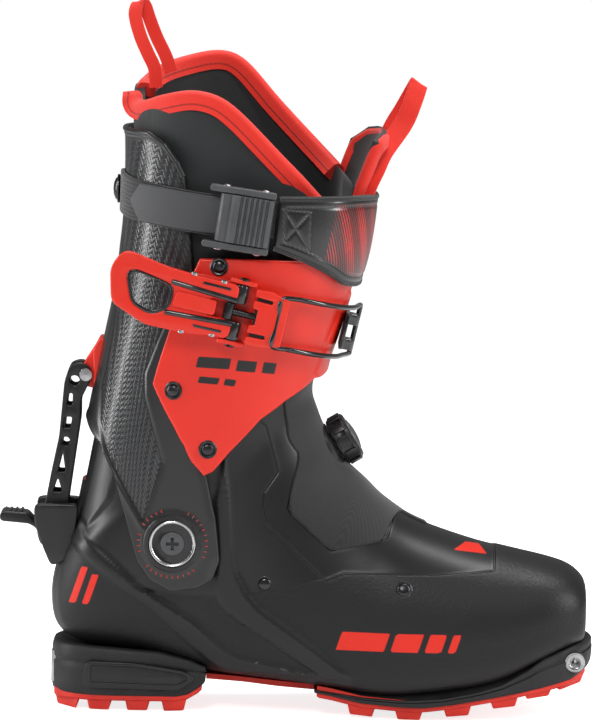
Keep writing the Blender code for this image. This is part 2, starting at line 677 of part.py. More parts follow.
def make_heel_fitting(rim):
    """Steel insert let into the back of the heel, with two pin slots and two screws."""
    plate = finish("heel_fitting", box("heel_fitting", (-135.2, -15, 12.5), (-132.2, 15, 29.5)), "steel")
    boolean(rim, cutter("heel_recess", box("heel_recess", (-140, -15 - GAP, 12.5 - GAP),
                                           (-132.2 + GAP, 15 + GAP, 29.5 + GAP))))
    boolean(rim, cutter("heel_pocket", box("heel_pocket", (-134, -8.5, 13.5), (-126, 8.5, 21.5))))
    for number, side in enumerate((-1, 1), start=1):
        slot = box(f"pin_slot_{number}", (-140, side * 5.5 - 2.6, 14.0), (-126, side * 5.5 + 2.6, 20.8))
        boolean(plate, cutter(f"pin_slot_{number}", slot))
        spot = (-135.2, side * 10.0, 25.0)
        bore = rod(f"screw_bore_{number}", (-140, spot[1], spot[2]), (-120, spot[1], spot[2]), 2.0 + GAP, 10)
        seat = rod(f"screw_seat_{number}", (-140, spot[1], spot[2]), (-133.5, spot[1], spot[2]), 3.4 + GAP, 12)
        tool = cutter(f"screw_bore_{number}", bore)
        boolean(plate, tool)
        boolean(plate, cutter(f"screw_seat_{number}", seat))
        boolean(rim, tool)
        profile = [(0.0, -12.0), (2.0, -12.0), (2.0, -1.4), (3.4, -1.4), (3.4, -0.5), (3.0, -0.1), (0.0, -0.1)]
        name = f"heel_fitting_screw_{number}"
        finish(name, turned(name, profile, spot, (-1, 0, 0), 12), "steel")


def make_heel_panel(label, side, rim):
    """Inset plastic panel on the side of the heel block."""
    outline = [(-113, 13.5), (-64, 11.5), (-55, 18.0), (-62, 23.0), (-98, 27.5), (-114, 27.0)]
    name = f"heel_panel_{label}"
    face = 35.2
    low, high = sorted((side * (face - 3.4), side * face))
    finish(name, prism(name, outline, low, high), "black_plastic")
    wide = [(x + (0.7 if x > -85 else -0.7), z + (0.5 if z > 16 else -0.5)) for x, z in outline]
    low, high = sorted((side * (face - 3.7), side * 50))
    boolean(rim, cutter(f"{name}_recess", prism(f"{name}_recess", wide, low, high)))


# ---------------------------------------------------------------- walk mode at the heel
BAR_HINGE = (-119.0, 182.0)
LEVER_AXIS = (-139.8, 92.5)


def make_catch_housing():
    side = [(-138.2, 76), (-141.0, 87), (-145.6, 101), (-146.0, 111), (-128, 111.4), (-112, 111.4),
            (-108, 100), (-112, 78)]
    housing = finish("catch_housing", prism("catch_housing", side, -20.5, 20.5), "black_plastic")
    boolean(housing, shell_hull())
    boolean(housing, cutter("bar_slot", box("bar_slot", (-144.0, -13.0, 97.0), (-124.6, 13.0, 130.0))))
    boolean(housing, cutter("lever_gap", box("lever_gap", (-160.0, -9.5, 70.0), (-133.0, 9.5, 108.0))))
    x, z = LEVER_AXIS
    boolean(housing, cutter("lever_pin_bore", rod("lever_pin_bore", (x, -40, z), (x, 40, z),
                                                  1.6 + GAP, 12)))
    finish("lever_pin", rod("lever_pin", (x, -19.5, z), (x, 19.5, z), 1.6, 12), "steel", (x, 0, z))


def make_walk_lever():
    x, z = LEVER_AXIS
    outline = [(-165.0, 99.6), (-165.6, 102.6), (-164.0, 105.8), (-150.0, 104.9), (-146.5, 101.0),
               (-142.0, 96.9), (x + 2.8, z + 3.9), (x + 4.0, z), (x + 2.0, z - 4.6), (x - 2.5, z - 5.6), (x - 4.4, z - 1.0),
               (x - 5.0, z + 3.5), (-149.0, 98.6)]
    lever = finish("walk_lever", prism("walk_lever", outline, -9.0, 9.0), "soft_black", (x, 0, z))
    boolean(lever, cutter("lever_bore", rod("lever_bore", (x, -40, z), (x, 40, z), 1.6 + GAP, 12)))


def make_lock_bar():
    """Perforated channel from the back of the cuff down into the heel housing."""
    x, z = BAR_HINGE
    outer = [(-140.6, 108.5), (-137.2, 128.0), (-133.2, 148.0), (-130.8, 178.0), (-128.0, 187.0),
             (-122.0, 189.0), (-117.0, 186.8), (-115.6, 182.0), (-117.0, 177.6), (-121.6, 168.0),
             (-121.5, 158.0), (-127.0, 116.0), (-127.8, 108.5)]
    bar = finish("lock_bar", prism("lock_bar", outer, -10.5, 10.5), "black_plastic", (x, 0, z))
    inner = [(-138.2, 100.0), (-134.4, 128.0), (-130.2, 148.0), (-127.8, 178.0), (-126.4, 184.4),
             (-124.5, 195.0), (-100.0, 200.0), (-100.0, 100.0)]
    boolean(bar, cutter("bar_channel", prism("bar_channel", inner, -7.6, 7.6)))
    for number, (hx, hz, radius) in enumerate(((-125.2, 178.6, 2.8), (-129.6, 145.0, 2.4))):
        hole = rod(f"bar_hole_{number}", (hx, -20, hz), (hx, 20, hz), radius, 12)
        boolean(bar, cutter(f"bar_hole_{number}", hole))
    slots = [[(-129.3, 165), (-126.2, 165), (-126.0, 171.5), (-128.2, 171.5)],
             [(-131.3, 152.5), (-127.0, 152.5), (-126.2, 158.5), (-130.2, 158.5)],
             [(-133.6, 128), (-129.4, 128), (-131.0, 139)],
             [(-136.0, 117), (-131.0, 117), (-133.4, 124.5)]]
    for number, outline in enumerate(slots):
        boolean(bar, cutter(f"bar_slot_{number}", prism(f"bar_slot_{number}", outline, -20, 20)))
    boolean(bar, cutter("bar_hinge_bore", rod("bar_hinge_bore", (x, -20, z), (x, 20, z), 2.2 + GAP, 12)))
    profile = [(0.0, -12.6), (3.4, -12.4), (3.6, -10.8), (2.2, -10.8), (2.2, 10.8), (3.6, 10.8), (3.4, 12.4),
               (0.0, 12.6)]
    finish("lock_pin", turned("lock_pin", profile, (x, 0, z), (0, 1, 0), 12), "steel", (x, 0, z))


def make_lock_bracket():
    """Red block on the back of the cuff that carries the lock bar's hinge pin between its ears."""
    seat = [(float(cuff_section(z)[0] - cuff_section(z)[1]) - 0.5, z) for z in (177.0, 187.0, 197.0)]
    outline = [(-113.6, 196.6), (-120.0, 188.0), (-122.6, 180.5), (-119.0, 176.8)] + seat
    block = finish("lock_bracket", prism("lock_bracket", outline, -7.2, 7.2), "red_plastic",
                   (PIVOT[0], 0, PIVOT[1]))
    x, z = BAR_HINGE
    boolean(block, cutter("bracket_bore", rod("bracket_bore", (x, -20, z), (x, 20, z), 2.2 + GAP, 12)))
    return block


# ---------------------------------------------------------------- cuff
CUFF_FRONT_EDGE = [(-46.5, 76.0), (-43.0, 86.0), (-45.5, 108.0), (-50.0, 128.0), (-57.0, 160.0), (-62.0, 200.0),
                   (-61.0, 245.0), (-64.0, 270.0), (-66.0, 296.0)]
CUFF_LOW_EDGE = [(-46.5, 76.0), (-56.0, 70.4), (-69.0, 68.2), (-81.0, 74.5), (-88.0, 84.5), (-94.5, 107.0),
                 (-101.0, 130.0), (-109.0, 147.0)]


def make_rear_cuff():
    front = side_line(CUFF_FRONT_EDGE)
    low = side_line(CUFF_LOW_EDGE) + [(168.0, 157.0), (180.0, 158.5)]
    top = side_line([(-66.0, 296.0), (-80.0, 304.0)]) + [(150.0, 312.0), (180.0, 315.5)]
    edges = (low + mirror_line(low[:-1])[::-1], top + mirror_line(top[:-1])[::-1], front, mirror_line(front))
    cuff = cuff_patch("rear_cuff", "carbon", edges, 27, 8, 0.0, CUFF_WALL)
    boolean(cuff, bpy.data.objects["ankle_bore"])
    return cuff


FLAP_LEFT = [(-56.0, 132.5), (-66.0, 155.0), (-78.0, 182.0), (-70.0, 212.0), (-62.0, 236.0), (-56.0, 251.0)]
FLAP_LOW = [(-56.0, 132.5), (-47.0, 138.0), (-24.0, 163.5), (-11.0, 173.5)]


def make_flaps():
    """Red front plates of the cuff: the outer one laps over the inner one at the front."""
    left = side_line(FLAP_LEFT)
    low = side_line(FLAP_LOW) + [(28.0, 184.0), (0.0, 186.5), (-9.0, 187.0)]
    top = side_line([(-56.0, 251.0), (-30.0, 251.0)]) + [(0.0, 248.0), (-9.0, 247.5)]
    right = [(-9.0, 187.0), (-10.0, 215.0), (-9.0, 247.5)]
    outer = cuff_patch("cuff_flap_outer", "red_plastic", (low, top, left, right), 11, 7, 3.3, FLAP_WALL)
    inner_low = mirror_line(side_line(FLAP_LOW)) + [(332.0, 184.0), (348.0, 186.4)]
    inner_top = mirror_line(side_line([(-56.0, 251.0), (-30.0, 251.0)])) + [(348.0, 248.0)]
    inner_right = [(348.0, 186.4), (347.0, 215.0), (348.0, 248.0)]
    inner = cuff_patch("cuff_flap_inner", "red_plastic",
                       (inner_low, inner_top, mirror_line(left), inner_right), 10, 7, 3.3, FLAP_WALL)
    return outer, inner


CUFF_RIVETS = [(-46.0, 247.0), (-69.2, 179.0), (-51.0, 147.3)]


def make_cuff_rivets(cuff, flaps):
    number = 0
    for side in (-1, 1):
        for x, z in CUFF_RIVETS:
            number += 1
            turn = float(cuff_turn(x, z)) if side < 0 else 360.0 - float(cuff_turn(x, z))
            place = Vector(cuff_surface(np.array(turn), np.array(z), 3.4))
            ahead = Vector(cuff_surface(np.array(turn), np.array(z), 6.0)) - place
            normal = Vector((0.0, side, 0.0)) if ahead.length < 1e-6 else ahead.normalized()
            bore = rod(f"cuff_bore_{number}", place - normal * 9, place + normal * 6, 1.7 + GAP, 10)
            tool = cutter(f"cuff_bore_{number}", bore)
            boolean(flaps[0] if side < 0 else flaps[1], tool)
            if (x, z) != CUFF_RIVETS[0]:
                boolean(cuff, tool)
            dome_rivet(f"cuff_rivet_{number}", place, normal, "dark_steel", 5.6)


def make_pivots():
    """Ankle joint: bolt with a cross recess and a bright washer on each side."""
    x, z = PIVOT
    for side, label in ((-1, "outer"), (1, "inner")):
        face = 48.5
        axis = (0, side, 0)
        ring_profile = [(10.4, 0.4), (12.6, 0.4), (12.6, 2.0), (11.9, 2.6), (10.4, 2.2)]
        ring = turned(f"pivot_ring_{label}", ring_profile, (x, side * face, z), axis, 20)
        finish(f"pivot_ring_{label}", ring, "steel", (x, 0, z))
        bolt_profile = [(0.0, -8.4), (PIVOT_SHANK, -8.4), (PIVOT_SHANK, 0.4), (10.0, 0.4), (9.6, 1.9),
                        (7.0, 1.2), (6.2, 2.2), (0.0, 2.4)]
        bolt = finish(f"pivot_bolt_{label}", turned(f"pivot_bolt_{label}", bolt_profile, (x, side * face, z),
                                                    axis, 16), "dark_steel", (x, 0, z))
        low, high = sorted((side * (face + 0.6), side * (face + 8.0)))
        for number, (wide, tall) in enumerate(((3.4, 0.8), (0.8, 3.4))):
            slot = box(f"cross_{label}_{number}", (x - wide, low, z - tall), (x + wide, high, z + tall))
            boolean(bolt, cutter(f"cross_{label}_{number}", slot))


def make_tongue():
    """Padded tongue between liner and flaps."""
    low = [(8.0, 256.0), (-20.0, 256.0), (-40.0, 256.0)]
    top = [(8.0, 318.0), (-20.0, 319.0), (-40.0, 313.0)]
    left = [(8.0, 256.0), (8.0, 318.0)]
    right = [(-40.0, 256.0), (-40.0, 313.0)]
    lean = [(256.0, 0.0), (285.0, 0.0), (300.0, 4.0), (319.0, 9.0)]
    spots = coons(low, top, left, right, 9, 9)
    points = cuff_surface(spots[..., 0], spots[..., 1], -0.6)
    heights, reach = zip(*lean)
    points[..., 0] += np.interp(points[..., 2], heights, reach)
    mesh = grid_mesh("tongue", points)
    if sum((f.normal.x for f in mesh.polygons), 0.0) < 0.0:
        mesh.flip_normals()
    tongue = finish("tongue", mesh, "liner_foam", (PIVOT[0], 0, PIVOT[1]))
    solidify(tongue, 3.0)


def make_liner_binding():
    """Red edge tape around the liner's top: one strip for each side of the leg."""
    surface = liner_surface(LINER_WALL / 2.0, 0.0, 96, 60)
    half = len(surface) // 2
    for label, line, first, last in (("outer", LINER_TOP_OUTER, 12, 46), ("inner", LINER_TOP_INNER, 84, 50)):
        xs, zs = zip(*line)
        path = []
        for col in np.linspace(first, last, 18).astype(int):
            column = surface[half:, col]
            gap = np.interp(column[:, 0], xs, zs) - column[:, 2]
            path.append(column[int(np.argmin(np.abs(gap)))])
        path = catmull(path, 24)
        path[:, 2] = np.interp(path[:, 0], xs, zs)
        slope = np.gradient(path, axis=0)
        upward = np.stack([-slope[:, 2], np.zeros(len(path)), slope[:, 0]], axis=1)
        upward *= np.sign(upward[:, 2:3]) / np.linalg.norm(upward, axis=1)[:, None]
        strip = sweep(f"liner_binding_{label}", path + upward * 4.4, 3.2, 2.2, upward)
        finish(f"liner_binding_{label}", strip, "red_webbing", (PIVOT[0], 0, PIVOT[1]))


REAR_LOOP = [(-83.5, -6.2, 350.5), (-87.0, -6.8, 356.0), (-92.5, -6.6, 368.0), (-95.6, -4.6, 379.0),
             (-94.6, -2.0, 385.0), (-92.6, 0.0, 386.0), (-90.4, 2.0, 384.0), (-88.0, 4.6, 377.0),
             (-84.0, 6.6, 367.0), (-79.0, 6.8, 357.0), (-76.0, 6.2, 350.5)]
REAR_LOOP_ACROSS = (0.91, 0.0, 0.41)
FRONT_LOOP = [(44.0, -6.0, 321.5), (48.0, -6.6, 329.0), (53.0, -6.0, 338.0), (57.5, -3.4, 344.5),
              (60.5, 0.0, 346.4), (62.6, 3.4, 342.6), (61.6, 6.0, 334.0), (58.0, 6.6, 326.5),
              (54.5, 6.0, 320.5)]
FRONT_LOOP_ACROSS = (0.87, 0.0, -0.49)


def make_pull_loops():
    """Finger loops of flat tape: behind the liner's top and on top of the tongue."""
    for name, route, across in (("rear_pull_loop", REAR_LOOP, REAR_LOOP_ACROSS),
                                ("front_pull_loop", FRONT_LOOP, FRONT_LOOP_ACROSS)):
        strip = sweep(name, catmull(route, 26), 3.4, 0.8, across)
        finish(name, strip, "red_webbing", (PIVOT[0], 0, PIVOT[1]))


# ---------------------------------------------------------------- instep: gaiter and lace dial
DIAL_SEAT = (19.3, 0.0, 145.9)
DIAL_TILT = 31.0


def dial_axis():
    return Vector((math.cos(math.radians(DIAL_TILT)), 0.0, math.sin(math.radians(DIAL_TILT))))


def along_dial(distance):
    return Vector(DIAL_SEAT) + dial_axis() * distance


def make_gaiter():
    """Water-tight fabric over the instep between the shell's sides."""
    over = fan_surface(inset_stations(SHELL_STATIONS, -2.2), SHELL_SECTIONS, SHELL_AROUND)
    points = np.concatenate([over[8:14, -3:], over[8:14, :4]], axis=1)
    mesh = grid_mesh("instep_gaiter", points)
    if sum((f.normal.x + f.normal.z for f in mesh.polygons), 0.0) < 0.0:
        mesh.flip_normals()
    gaiter = finish("instep_gaiter", mesh, "soft_black")
    solidify(gaiter, 1.2)
    hole = rod("gaiter_hole", along_dial(-20), along_dial(20), 15.6, 20)
    boolean(gaiter, cutter("gaiter_hole", hole))


def make_dial():
    axis = dial_axis()
    base_profile = [(5.8, -14.0), (13.0, -14.0), (13.0, -1.6), (12.0, -0.4), (5.8, -0.4)]
    base = finish("dial_base", turned("dial_base", base_profile, DIAL_SEAT, axis, 24), "dark_steel",
                  DIAL_SEAT)
    boolean(base, shell_hull())
    spool = turned("dial_spool", [(0.0, 0.2), (4.8, 0.2), (4.8, 1.9), (0.0, 1.9)], DIAL_SEAT, axis, 16)
    finish("dial_spool", spool, "steel", DIAL_SEAT)
    knob_profile = [(5.6, 0.1), (13.4, 0.1), (14.5, 1.5), (14.5, 8.2), (12.6, 10.2), (9.3, 10.2), (9.3, 8.8),
                    (0.0, 8.8)]
    inner = [(0.0, 2.3), (5.6, 2.3)]
    knob = finish("dial_knob", turned("dial_knob", inner + knob_profile, DIAL_SEAT, axis, 24),
                  "black_plastic", DIAL_SEAT)
    notches = 8
    for number in range(notches):
        turn = Matrix.Rotation(2.0 * math.pi * number / notches, 3, axis)
        side = turn @ Vector((0.0, 1.0, 0.0))
        start = along_dial(2.2) + side * 14.9
        notch = rod(f"knob_notch_{number}", start, start + axis * 6.0, 1.9, 8)
        boolean(knob, cutter(f"knob_notch_{number}", notch))
    cap_profile = [(0.0, 9.1), (9.0, 9.1), (9.0, 10.6), (6.0, 11.7), (0.0, 12.2)]
    finish("dial_cap", turned("dial_cap", cap_profile, DIAL_SEAT, axis, 20), "grey_plastic", DIAL_SEAT)


# ---------------------------------------------------------------- buckle on the outer side
BUCKLE_HINGE = (-36.1, -63.2, 223.0)
BUCKLE_TILT = 12.4
LINK_PIN = (-4.8, -1.0)        # link pin from the hinge, forward and inward, in the buckle frame
BAIL_PIN = (22.0, -3.4)
BAIL_SPAN = 14.0
BAIL_WIRE = 1.4


def tilted_frame(origin, tilt):
    """Local frame: x forward along the tilted line, y inward, z up along the cuff."""
    return Matrix.Translation(origin) @ Matrix.Rotation(math.radians(tilt), 4, "Y")


BUCKLE = tilted_frame(BUCKLE_HINGE, BUCKLE_TILT)


def placed(mesh, frame):
    mesh.transform(frame)
    return mesh


def buckle_piece(name, mesh, finish_key, pin=(0.0, 0.0)):
    origin = BUCKLE @ Vector((pin[0], pin[1], 0.0))
    return finish(name, placed(mesh, BUCKLE), finish_key, origin)


def buckle_tool(name, mesh):
    return cutter(name, placed(mesh, BUCKLE))


def rod_z(name, place, low, high, radius, segments=12):
    return rod(name, (place[0], place[1], low), (place[0], place[1], high), radius, segments)


LEVER_OUTLINE = [(-72.0, 7.9), (-68.6, 16.6), (-64.1, 19.5), (-42.3, 15.8), (-24.0, 15.0), (-1.6, 15.0),
                 (-1.6, 4.8), (-17.0, 4.8), (-17.0, -4.8), (-1.6, -4.8), (-1.6, -15.0), (-10.5, -15.0), (-22.4, -17.0),
                 (-47.2, -17.6), (-67.3, -10.0)]
LEVER_WINDOW = [(-62.3, 6.8), (-59.3, 9.4), (-42.1, 5.6), (-39.2, -6.7), (-45.5, -11.0), (-56.1, -7.4)]


def make_buckle_base():
    plate = [(-32, -12), (-24, -15.6), (9, -15.6), (9, 15.6), (-24, 15.6), (-32, 12)]
    base = buckle_piece("buckle_base", prism("buckle_base", plate, 4.1, 5.8), "red_plastic")
    for number, side in enumerate((-1, 1)):
        low, high = sorted((side * 15.4, side * 18.0))
        ear = prism("ear", [(-7.5, low), (7.5, low), (7.5, high), (-7.5, high)], -2.6, 5.8)
        boolean(base, buckle_tool(f"base_ear_{number}", ear), "UNION")
        low, high = sorted((side * 5.2, side * 17.8))
        boolean(base, buckle_tool(f"base_stub_{number}", rod_z("stub", (0, 0), low, high, 1.5)), "UNION")
    return base


def make_buckle_lever():
    """Open frame lever: hinge eyes beside the link, hand end behind with its window."""
    lever = buckle_piece("buckle_lever", prism("buckle_lever", LEVER_OUTLINE, -4.2, -1.0), "red_plastic")
    boolean(lever, buckle_tool("lever_window", prism("lever_window", LEVER_WINDOW, -20, 20)))
    for number, side in enumerate((-1, 1)):
        low, high = sorted((side * 5.0, side * 15.0))
        eye = rod_z("eye", (0, 0), low, high, 3.7, 16)
        boolean(lever, buckle_tool(f"lever_eye_{number}", eye), "UNION")
    boolean(lever, buckle_tool("lever_link_pin", rod_z("link_pin", LINK_PIN, -8.0, 8.0, 1.2)), "UNION")
    bore = rod_z("bore", (0, 0), -16, -4.0, 1.5 + GAP)
    boolean(lever, buckle_tool("lever_bore_low", bore))
    bore = rod_z("bore", (0, 0), 4.0, 16, 1.5 + GAP)
    boolean(lever, buckle_tool("lever_bore_high", bore))


def make_link():
    """Adjusting rod and the comb block that it screws into."""
    x, y = LINK_PIN
    link = buckle_piece("buckle_rod", rod("buckle_rod", (x + 1.0, y, 0), (18.0, y, 0), 2.0, 14), "steel",
                        LINK_PIN)
    boolean(link, buckle_tool("rod_eye", rod_z("rod_eye", (x, y), -4.4, 4.4, 2.9, 16)), "UNION")
    boolean(link, buckle_tool("rod_eye_bore", rod_z("rod_eye_bore", (x, y), -9, 9, 1.2 + GAP, 12)))
    block = prism("wire_block", [(7.5, -15.0), (26.5, -12.6), (26.5, 12.6), (7.5, 15.0)], y - 3.6, y + 3.0)
    block = buckle_piece("wire_block", block, "red_plastic", LINK_PIN)
    boolean(block, buckle_tool("block_bore", rod("block_bore", (0, y, 0), (18.0 + GAP, y, 0), 2.0 + GAP, 14)))
    for number, z in enumerate((-9.4, 9.4)):
        slot = box("slot", (12.0, y - 5.0, z - 1.6), (20.0, y - 1.6, z + 1.6))
        boolean(block, buckle_tool(f"block_slot_{number}", slot))
    hole = rod_z("bail_bore", BAIL_PIN, -20, 20, BAIL_WIRE + GAP, 12)
    boolean(block, buckle_tool("bail_bore", hole))


def bail_height(x, level):
    """World height at which a place at x has the given level along the buckle's upright axis."""
    tilt = math.radians(BUCKLE_TILT)
    return BUCKLE_HINGE[2] + (level - (x - BUCKLE_HINGE[0]) * math.sin(tilt)) / math.cos(tilt)


BAIL_FRONT = (65.6, 65.2)      # front bar: forward and inward of the hinge, in the buckle frame


def bail_side(level):
    """One wire of the bail from the block around the cuff to the front bar."""
    points = []
    for turn, offset in ((62.0, 8.6), (52.0, 9.6), (42.0, 10.2), (32.0, 10.4), (22.0, 10.2), (12.0, 9.8)):
        z = BUCKLE_HINGE[2] - 4.0
        for _ in range(3):
            place = cuff_surface(np.array(turn), np.array(z), offset)
            z = bail_height(float(place[0]), level)
        points.append(Vector(place))
    return points


def make_bail():
    """Closed loop of wire: pin through the block, two side wires and the front bar."""
    top, low = bail_side(BAIL_SPAN), bail_side(-BAIL_SPAN)
    start_top = BUCKLE @ Vector((BAIL_PIN[0], BAIL_PIN[1], BAIL_SPAN))
    start_low = BUCKLE @ Vector((BAIL_PIN[0], BAIL_PIN[1], -BAIL_SPAN))
    end_top = BUCKLE @ Vector((BAIL_FRONT[0], BAIL_FRONT[1], BAIL_SPAN))
    end_low = BUCKLE @ Vector((BAIL_FRONT[0], BAIL_FRONT[1], -BAIL_SPAN))
    path = [start_top, *top, end_top, end_low, *reversed(low), start_low]
    origin = BUCKLE @ Vector((BAIL_PIN[0], BAIL_PIN[1], 0.0))
    wire("wire_bail", path, BAIL_WIRE, "dark_steel", origin, closed=True)


def make_catch():
    """Toothed catch on the front of the outer flap."""
    base, tip = 58.3, 66.4
    teeth = [(base, 38.0), (base + 2.2, 38.0)]
    for start in (41.0, 48.4):
        teeth += [(base + 2.2, start), (tip - 1.5, start + 2.2), (tip, start + 4.6), (tip - 1.0, start + 5.4),
                  (base + 2.2, start + 5.0)]
    teeth += [(base + 2.2, 70.0), (base, 70.0)]
    catch = prism("buckle_catch", teeth, -10.0, 10.0, "XY")
    catch = buckle_piece("buckle_catch", catch, "black_plastic")
    boolean(catch, buckle_tool("catch_window", box("window", (base + 3.6, 30, -4.0), (tip - 2.4, 80, 4.0))))


# ---------------------------------------------------------------- power strap
STRAP_CENTRE = (-36.0, -57.6, 273.0)
STRAP_TILT = 8.0
STRAP = tilted_frame(STRAP_CENTRE, STRAP_TILT)
CAM_AXIS = (-8.0, -4.6)


def strap_line(points, drop=0.0):
    return [(turn, z - drop) for turn, z in points]


def make_strap():
    """Webbing around the back, printed pad in front, cam buckle and rear rivet."""
    width = 22.0
    outer = [(float(cuff_turn(-22.0, 280.0)), 282.0), (90.0, 284.5), (130.0, 290.0), (180.0, 295.0)]
    inner = [(230.0, 291.0), (270.0, 286.0), (360.0 - float(cuff_turn(-22.0, 280.0)), 283.0)]
    top = outer + inner
    low = strap_line(top, width)
    edges = (low, top, [low[0], top[0]], [low[-1], top[-1]])
    band = cuff_patch("strap_band", "webbing", edges, 27, 3, 2.4, 2.0)
    lateral = float(cuff_turn(-17.0, 275.0))
    pad_top = [(lateral, 284.0), (30.0, 284.0), (0.0, 283.0), (-30.0, 283.0), (-lateral, 281.0)]
    pad_low = [(lateral, 259.0), (38.0, 246.0), (24.0, 240.0), (0.0, 238.0), (-30.0, 245.0),
               (-lateral, 258.0)]
    edges = (pad_low, pad_top, [pad_low[0], pad_top[0]], [pad_low[-1], pad_top[-1]])
    cuff_patch("strap_pad", "black_plastic", edges, 19, 5, 7.2, 3.0)

    frame = prism("strap_frame", [(-18, -17), (18, -17), (18, 17), (-18, 17)], -8.0, -0.3)
    frame = finish("strap_frame", placed(frame, STRAP), "grey_plastic", STRAP_CENTRE)
    window = prism("window", [(-14.6, -13.4), (22, -13.4), (22, 13.4), (-14.6, 13.4)], -20, 20)
    boolean(frame, cutter("frame_window", placed(window, STRAP)))
    bridge = prism("bridge", [(12, -15), (18, -15), (18, 15), (12, 15)], -2.2, -0.3)
    boolean(frame, cutter("frame_bridge", placed(bridge, STRAP)), "UNION")

    x, y = CAM_AXIS
    cam_profile = [(x + 3.7 * math.cos(a), y + 3.7 * math.sin(a)) for a in np.radians(np.arange(60, 301, 30))]
    cam_profile += [(-4.0, -9.2)]
    for rib in range(6):
        start = -1.0 + rib * 2.8
        cam_profile += [(start, -9.2), (start + 0.5, -8.4), (start + 1.5, -8.4), (start + 2.0, -9.2)]
    cam_profile += [(17.4, -8.6), (17.4, -3.2), (11.0, -2.7), (-3.0, -1.6)]
    cam = placed(prism("strap_cam", cam_profile, -12.9, 12.9, "XY"), STRAP)
    cam = finish("strap_cam", cam, "grey_plastic", STRAP @ Vector((x, y, 0.0)))
    pin = placed(rod_z("cam_pin", CAM_AXIS, -17.6, 17.6, 1.3), STRAP)
    boolean(cam, cutter("cam_pin", pin), "UNION")
    bore = placed(rod_z("cam_pin_bore", CAM_AXIS, -20, 20, 1.3 + GAP), STRAP)
    boolean(frame, cutter("cam_pin_bore", bore))

    spot = Vector(cuff_surface(np.array(180.0), np.array(284.0), 2.4))
    profile = [(0.0, -6.4), (2.0, -6.4), (2.0, 0.4), (5.4, 0.4), (5.4, 1.2), (4.2, 2.4), (0.0, 2.6)]
    finish("strap_rivet", turned("strap_rivet", profile, spot, (-1, 0, 0), 16), "dark_steel")
    bore = rod("strap_rivet_bore", spot + Vector((-9, 0, 0)), spot + Vector((9, 0, 0)), 2.0 + GAP, 12)
    tool = cutter("strap_rivet_bore", bore)
    boolean(band, tool)
    boolean(bpy.data.objects["rear_cuff"], tool)


# ---------------------------------------------------------------- assembly
def build():
    shell = make_lower_shell()
    make_shell_rivets(shell)
    make_sole()
    floor_patch("boot_board", "grey_plastic", SHELL_WALL + 1.4, 3.0)
    floor_patch("footbed", "webbing", LINER_INSET + LINER_RAISE + LINER_WALL + 1.6, 2.4)
    make_liner()
    make_catch_housing()
    make_walk_lever()
    make_lock_bar()
    make_lock_bracket()
    cuff = make_rear_cuff()
    flaps = make_flaps()
    make_cuff_rivets(cuff, flaps)
    make_pivots()
    make_tongue()
    make_liner_binding()
    make_pull_loops()
    make_gaiter()
    make_dial()
    make_buckle_base()
    make_buckle_lever()
    make_link()
    make_bail()
    make_catch()
    make_strap()


build()
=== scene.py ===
"""Alpine touring boot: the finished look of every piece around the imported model.

Lengths inside the classes are design millimetres (+X toe, +Y inner side of the foot, +Z up, ground at Z = 0);
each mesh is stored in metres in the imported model's frame.
"""
import json
import logging
import math
from dataclasses import dataclass, field
from enum import Enum

import bmesh
import bpy
import numpy as np
from mathutils import Matrix, Vector

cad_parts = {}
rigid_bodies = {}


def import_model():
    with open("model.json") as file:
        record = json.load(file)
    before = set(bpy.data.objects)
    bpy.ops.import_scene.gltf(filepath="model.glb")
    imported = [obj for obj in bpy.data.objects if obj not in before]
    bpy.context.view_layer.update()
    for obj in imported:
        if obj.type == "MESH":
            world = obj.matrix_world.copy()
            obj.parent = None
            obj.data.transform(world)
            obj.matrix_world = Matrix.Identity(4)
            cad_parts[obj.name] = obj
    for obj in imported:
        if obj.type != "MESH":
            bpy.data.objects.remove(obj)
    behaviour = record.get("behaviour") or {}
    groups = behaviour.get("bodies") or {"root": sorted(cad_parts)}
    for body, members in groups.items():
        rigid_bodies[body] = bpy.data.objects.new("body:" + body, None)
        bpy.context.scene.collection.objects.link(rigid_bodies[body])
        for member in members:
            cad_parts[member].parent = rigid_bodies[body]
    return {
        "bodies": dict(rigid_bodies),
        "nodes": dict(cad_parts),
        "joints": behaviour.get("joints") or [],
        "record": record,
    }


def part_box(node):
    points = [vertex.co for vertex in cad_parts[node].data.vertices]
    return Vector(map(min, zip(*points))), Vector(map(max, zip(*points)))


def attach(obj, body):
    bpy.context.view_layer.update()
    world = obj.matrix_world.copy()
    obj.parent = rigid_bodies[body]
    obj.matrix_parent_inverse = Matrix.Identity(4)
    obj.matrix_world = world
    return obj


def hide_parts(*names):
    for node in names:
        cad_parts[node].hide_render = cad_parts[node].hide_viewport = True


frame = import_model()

Array = np.ndarray
LOG = logging.getLogger("boot")
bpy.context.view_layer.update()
MM = 0.001
PIVOT = (-69.0, 95.0)          # ankle axis in the design frame, parallel to Y
OUTER, INNER = -1, 1           # sign of Y on each side of the boot
LEG_MIDDLE = -50.0             # X of the leg's middle line
FLAP_LIFT = 3.3                # outer face of the red flaps over the cuff's skin
PIVOT_FACE = 48.5              # |Y| of the ankle joint's seat


def design_shift() -> Array:
    """Where the design frame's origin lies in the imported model, in millimetres, read from the ankle bolts."""
    corners = np.array([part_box(f"pivot_bolt_{side}") for side in ("outer", "inner")]) / MM
    middle = corners.reshape(-1, 3).mean(axis=0)
    return np.array([middle[0] - PIVOT[0], middle[1], 0.0])


SHIFT = design_shift()


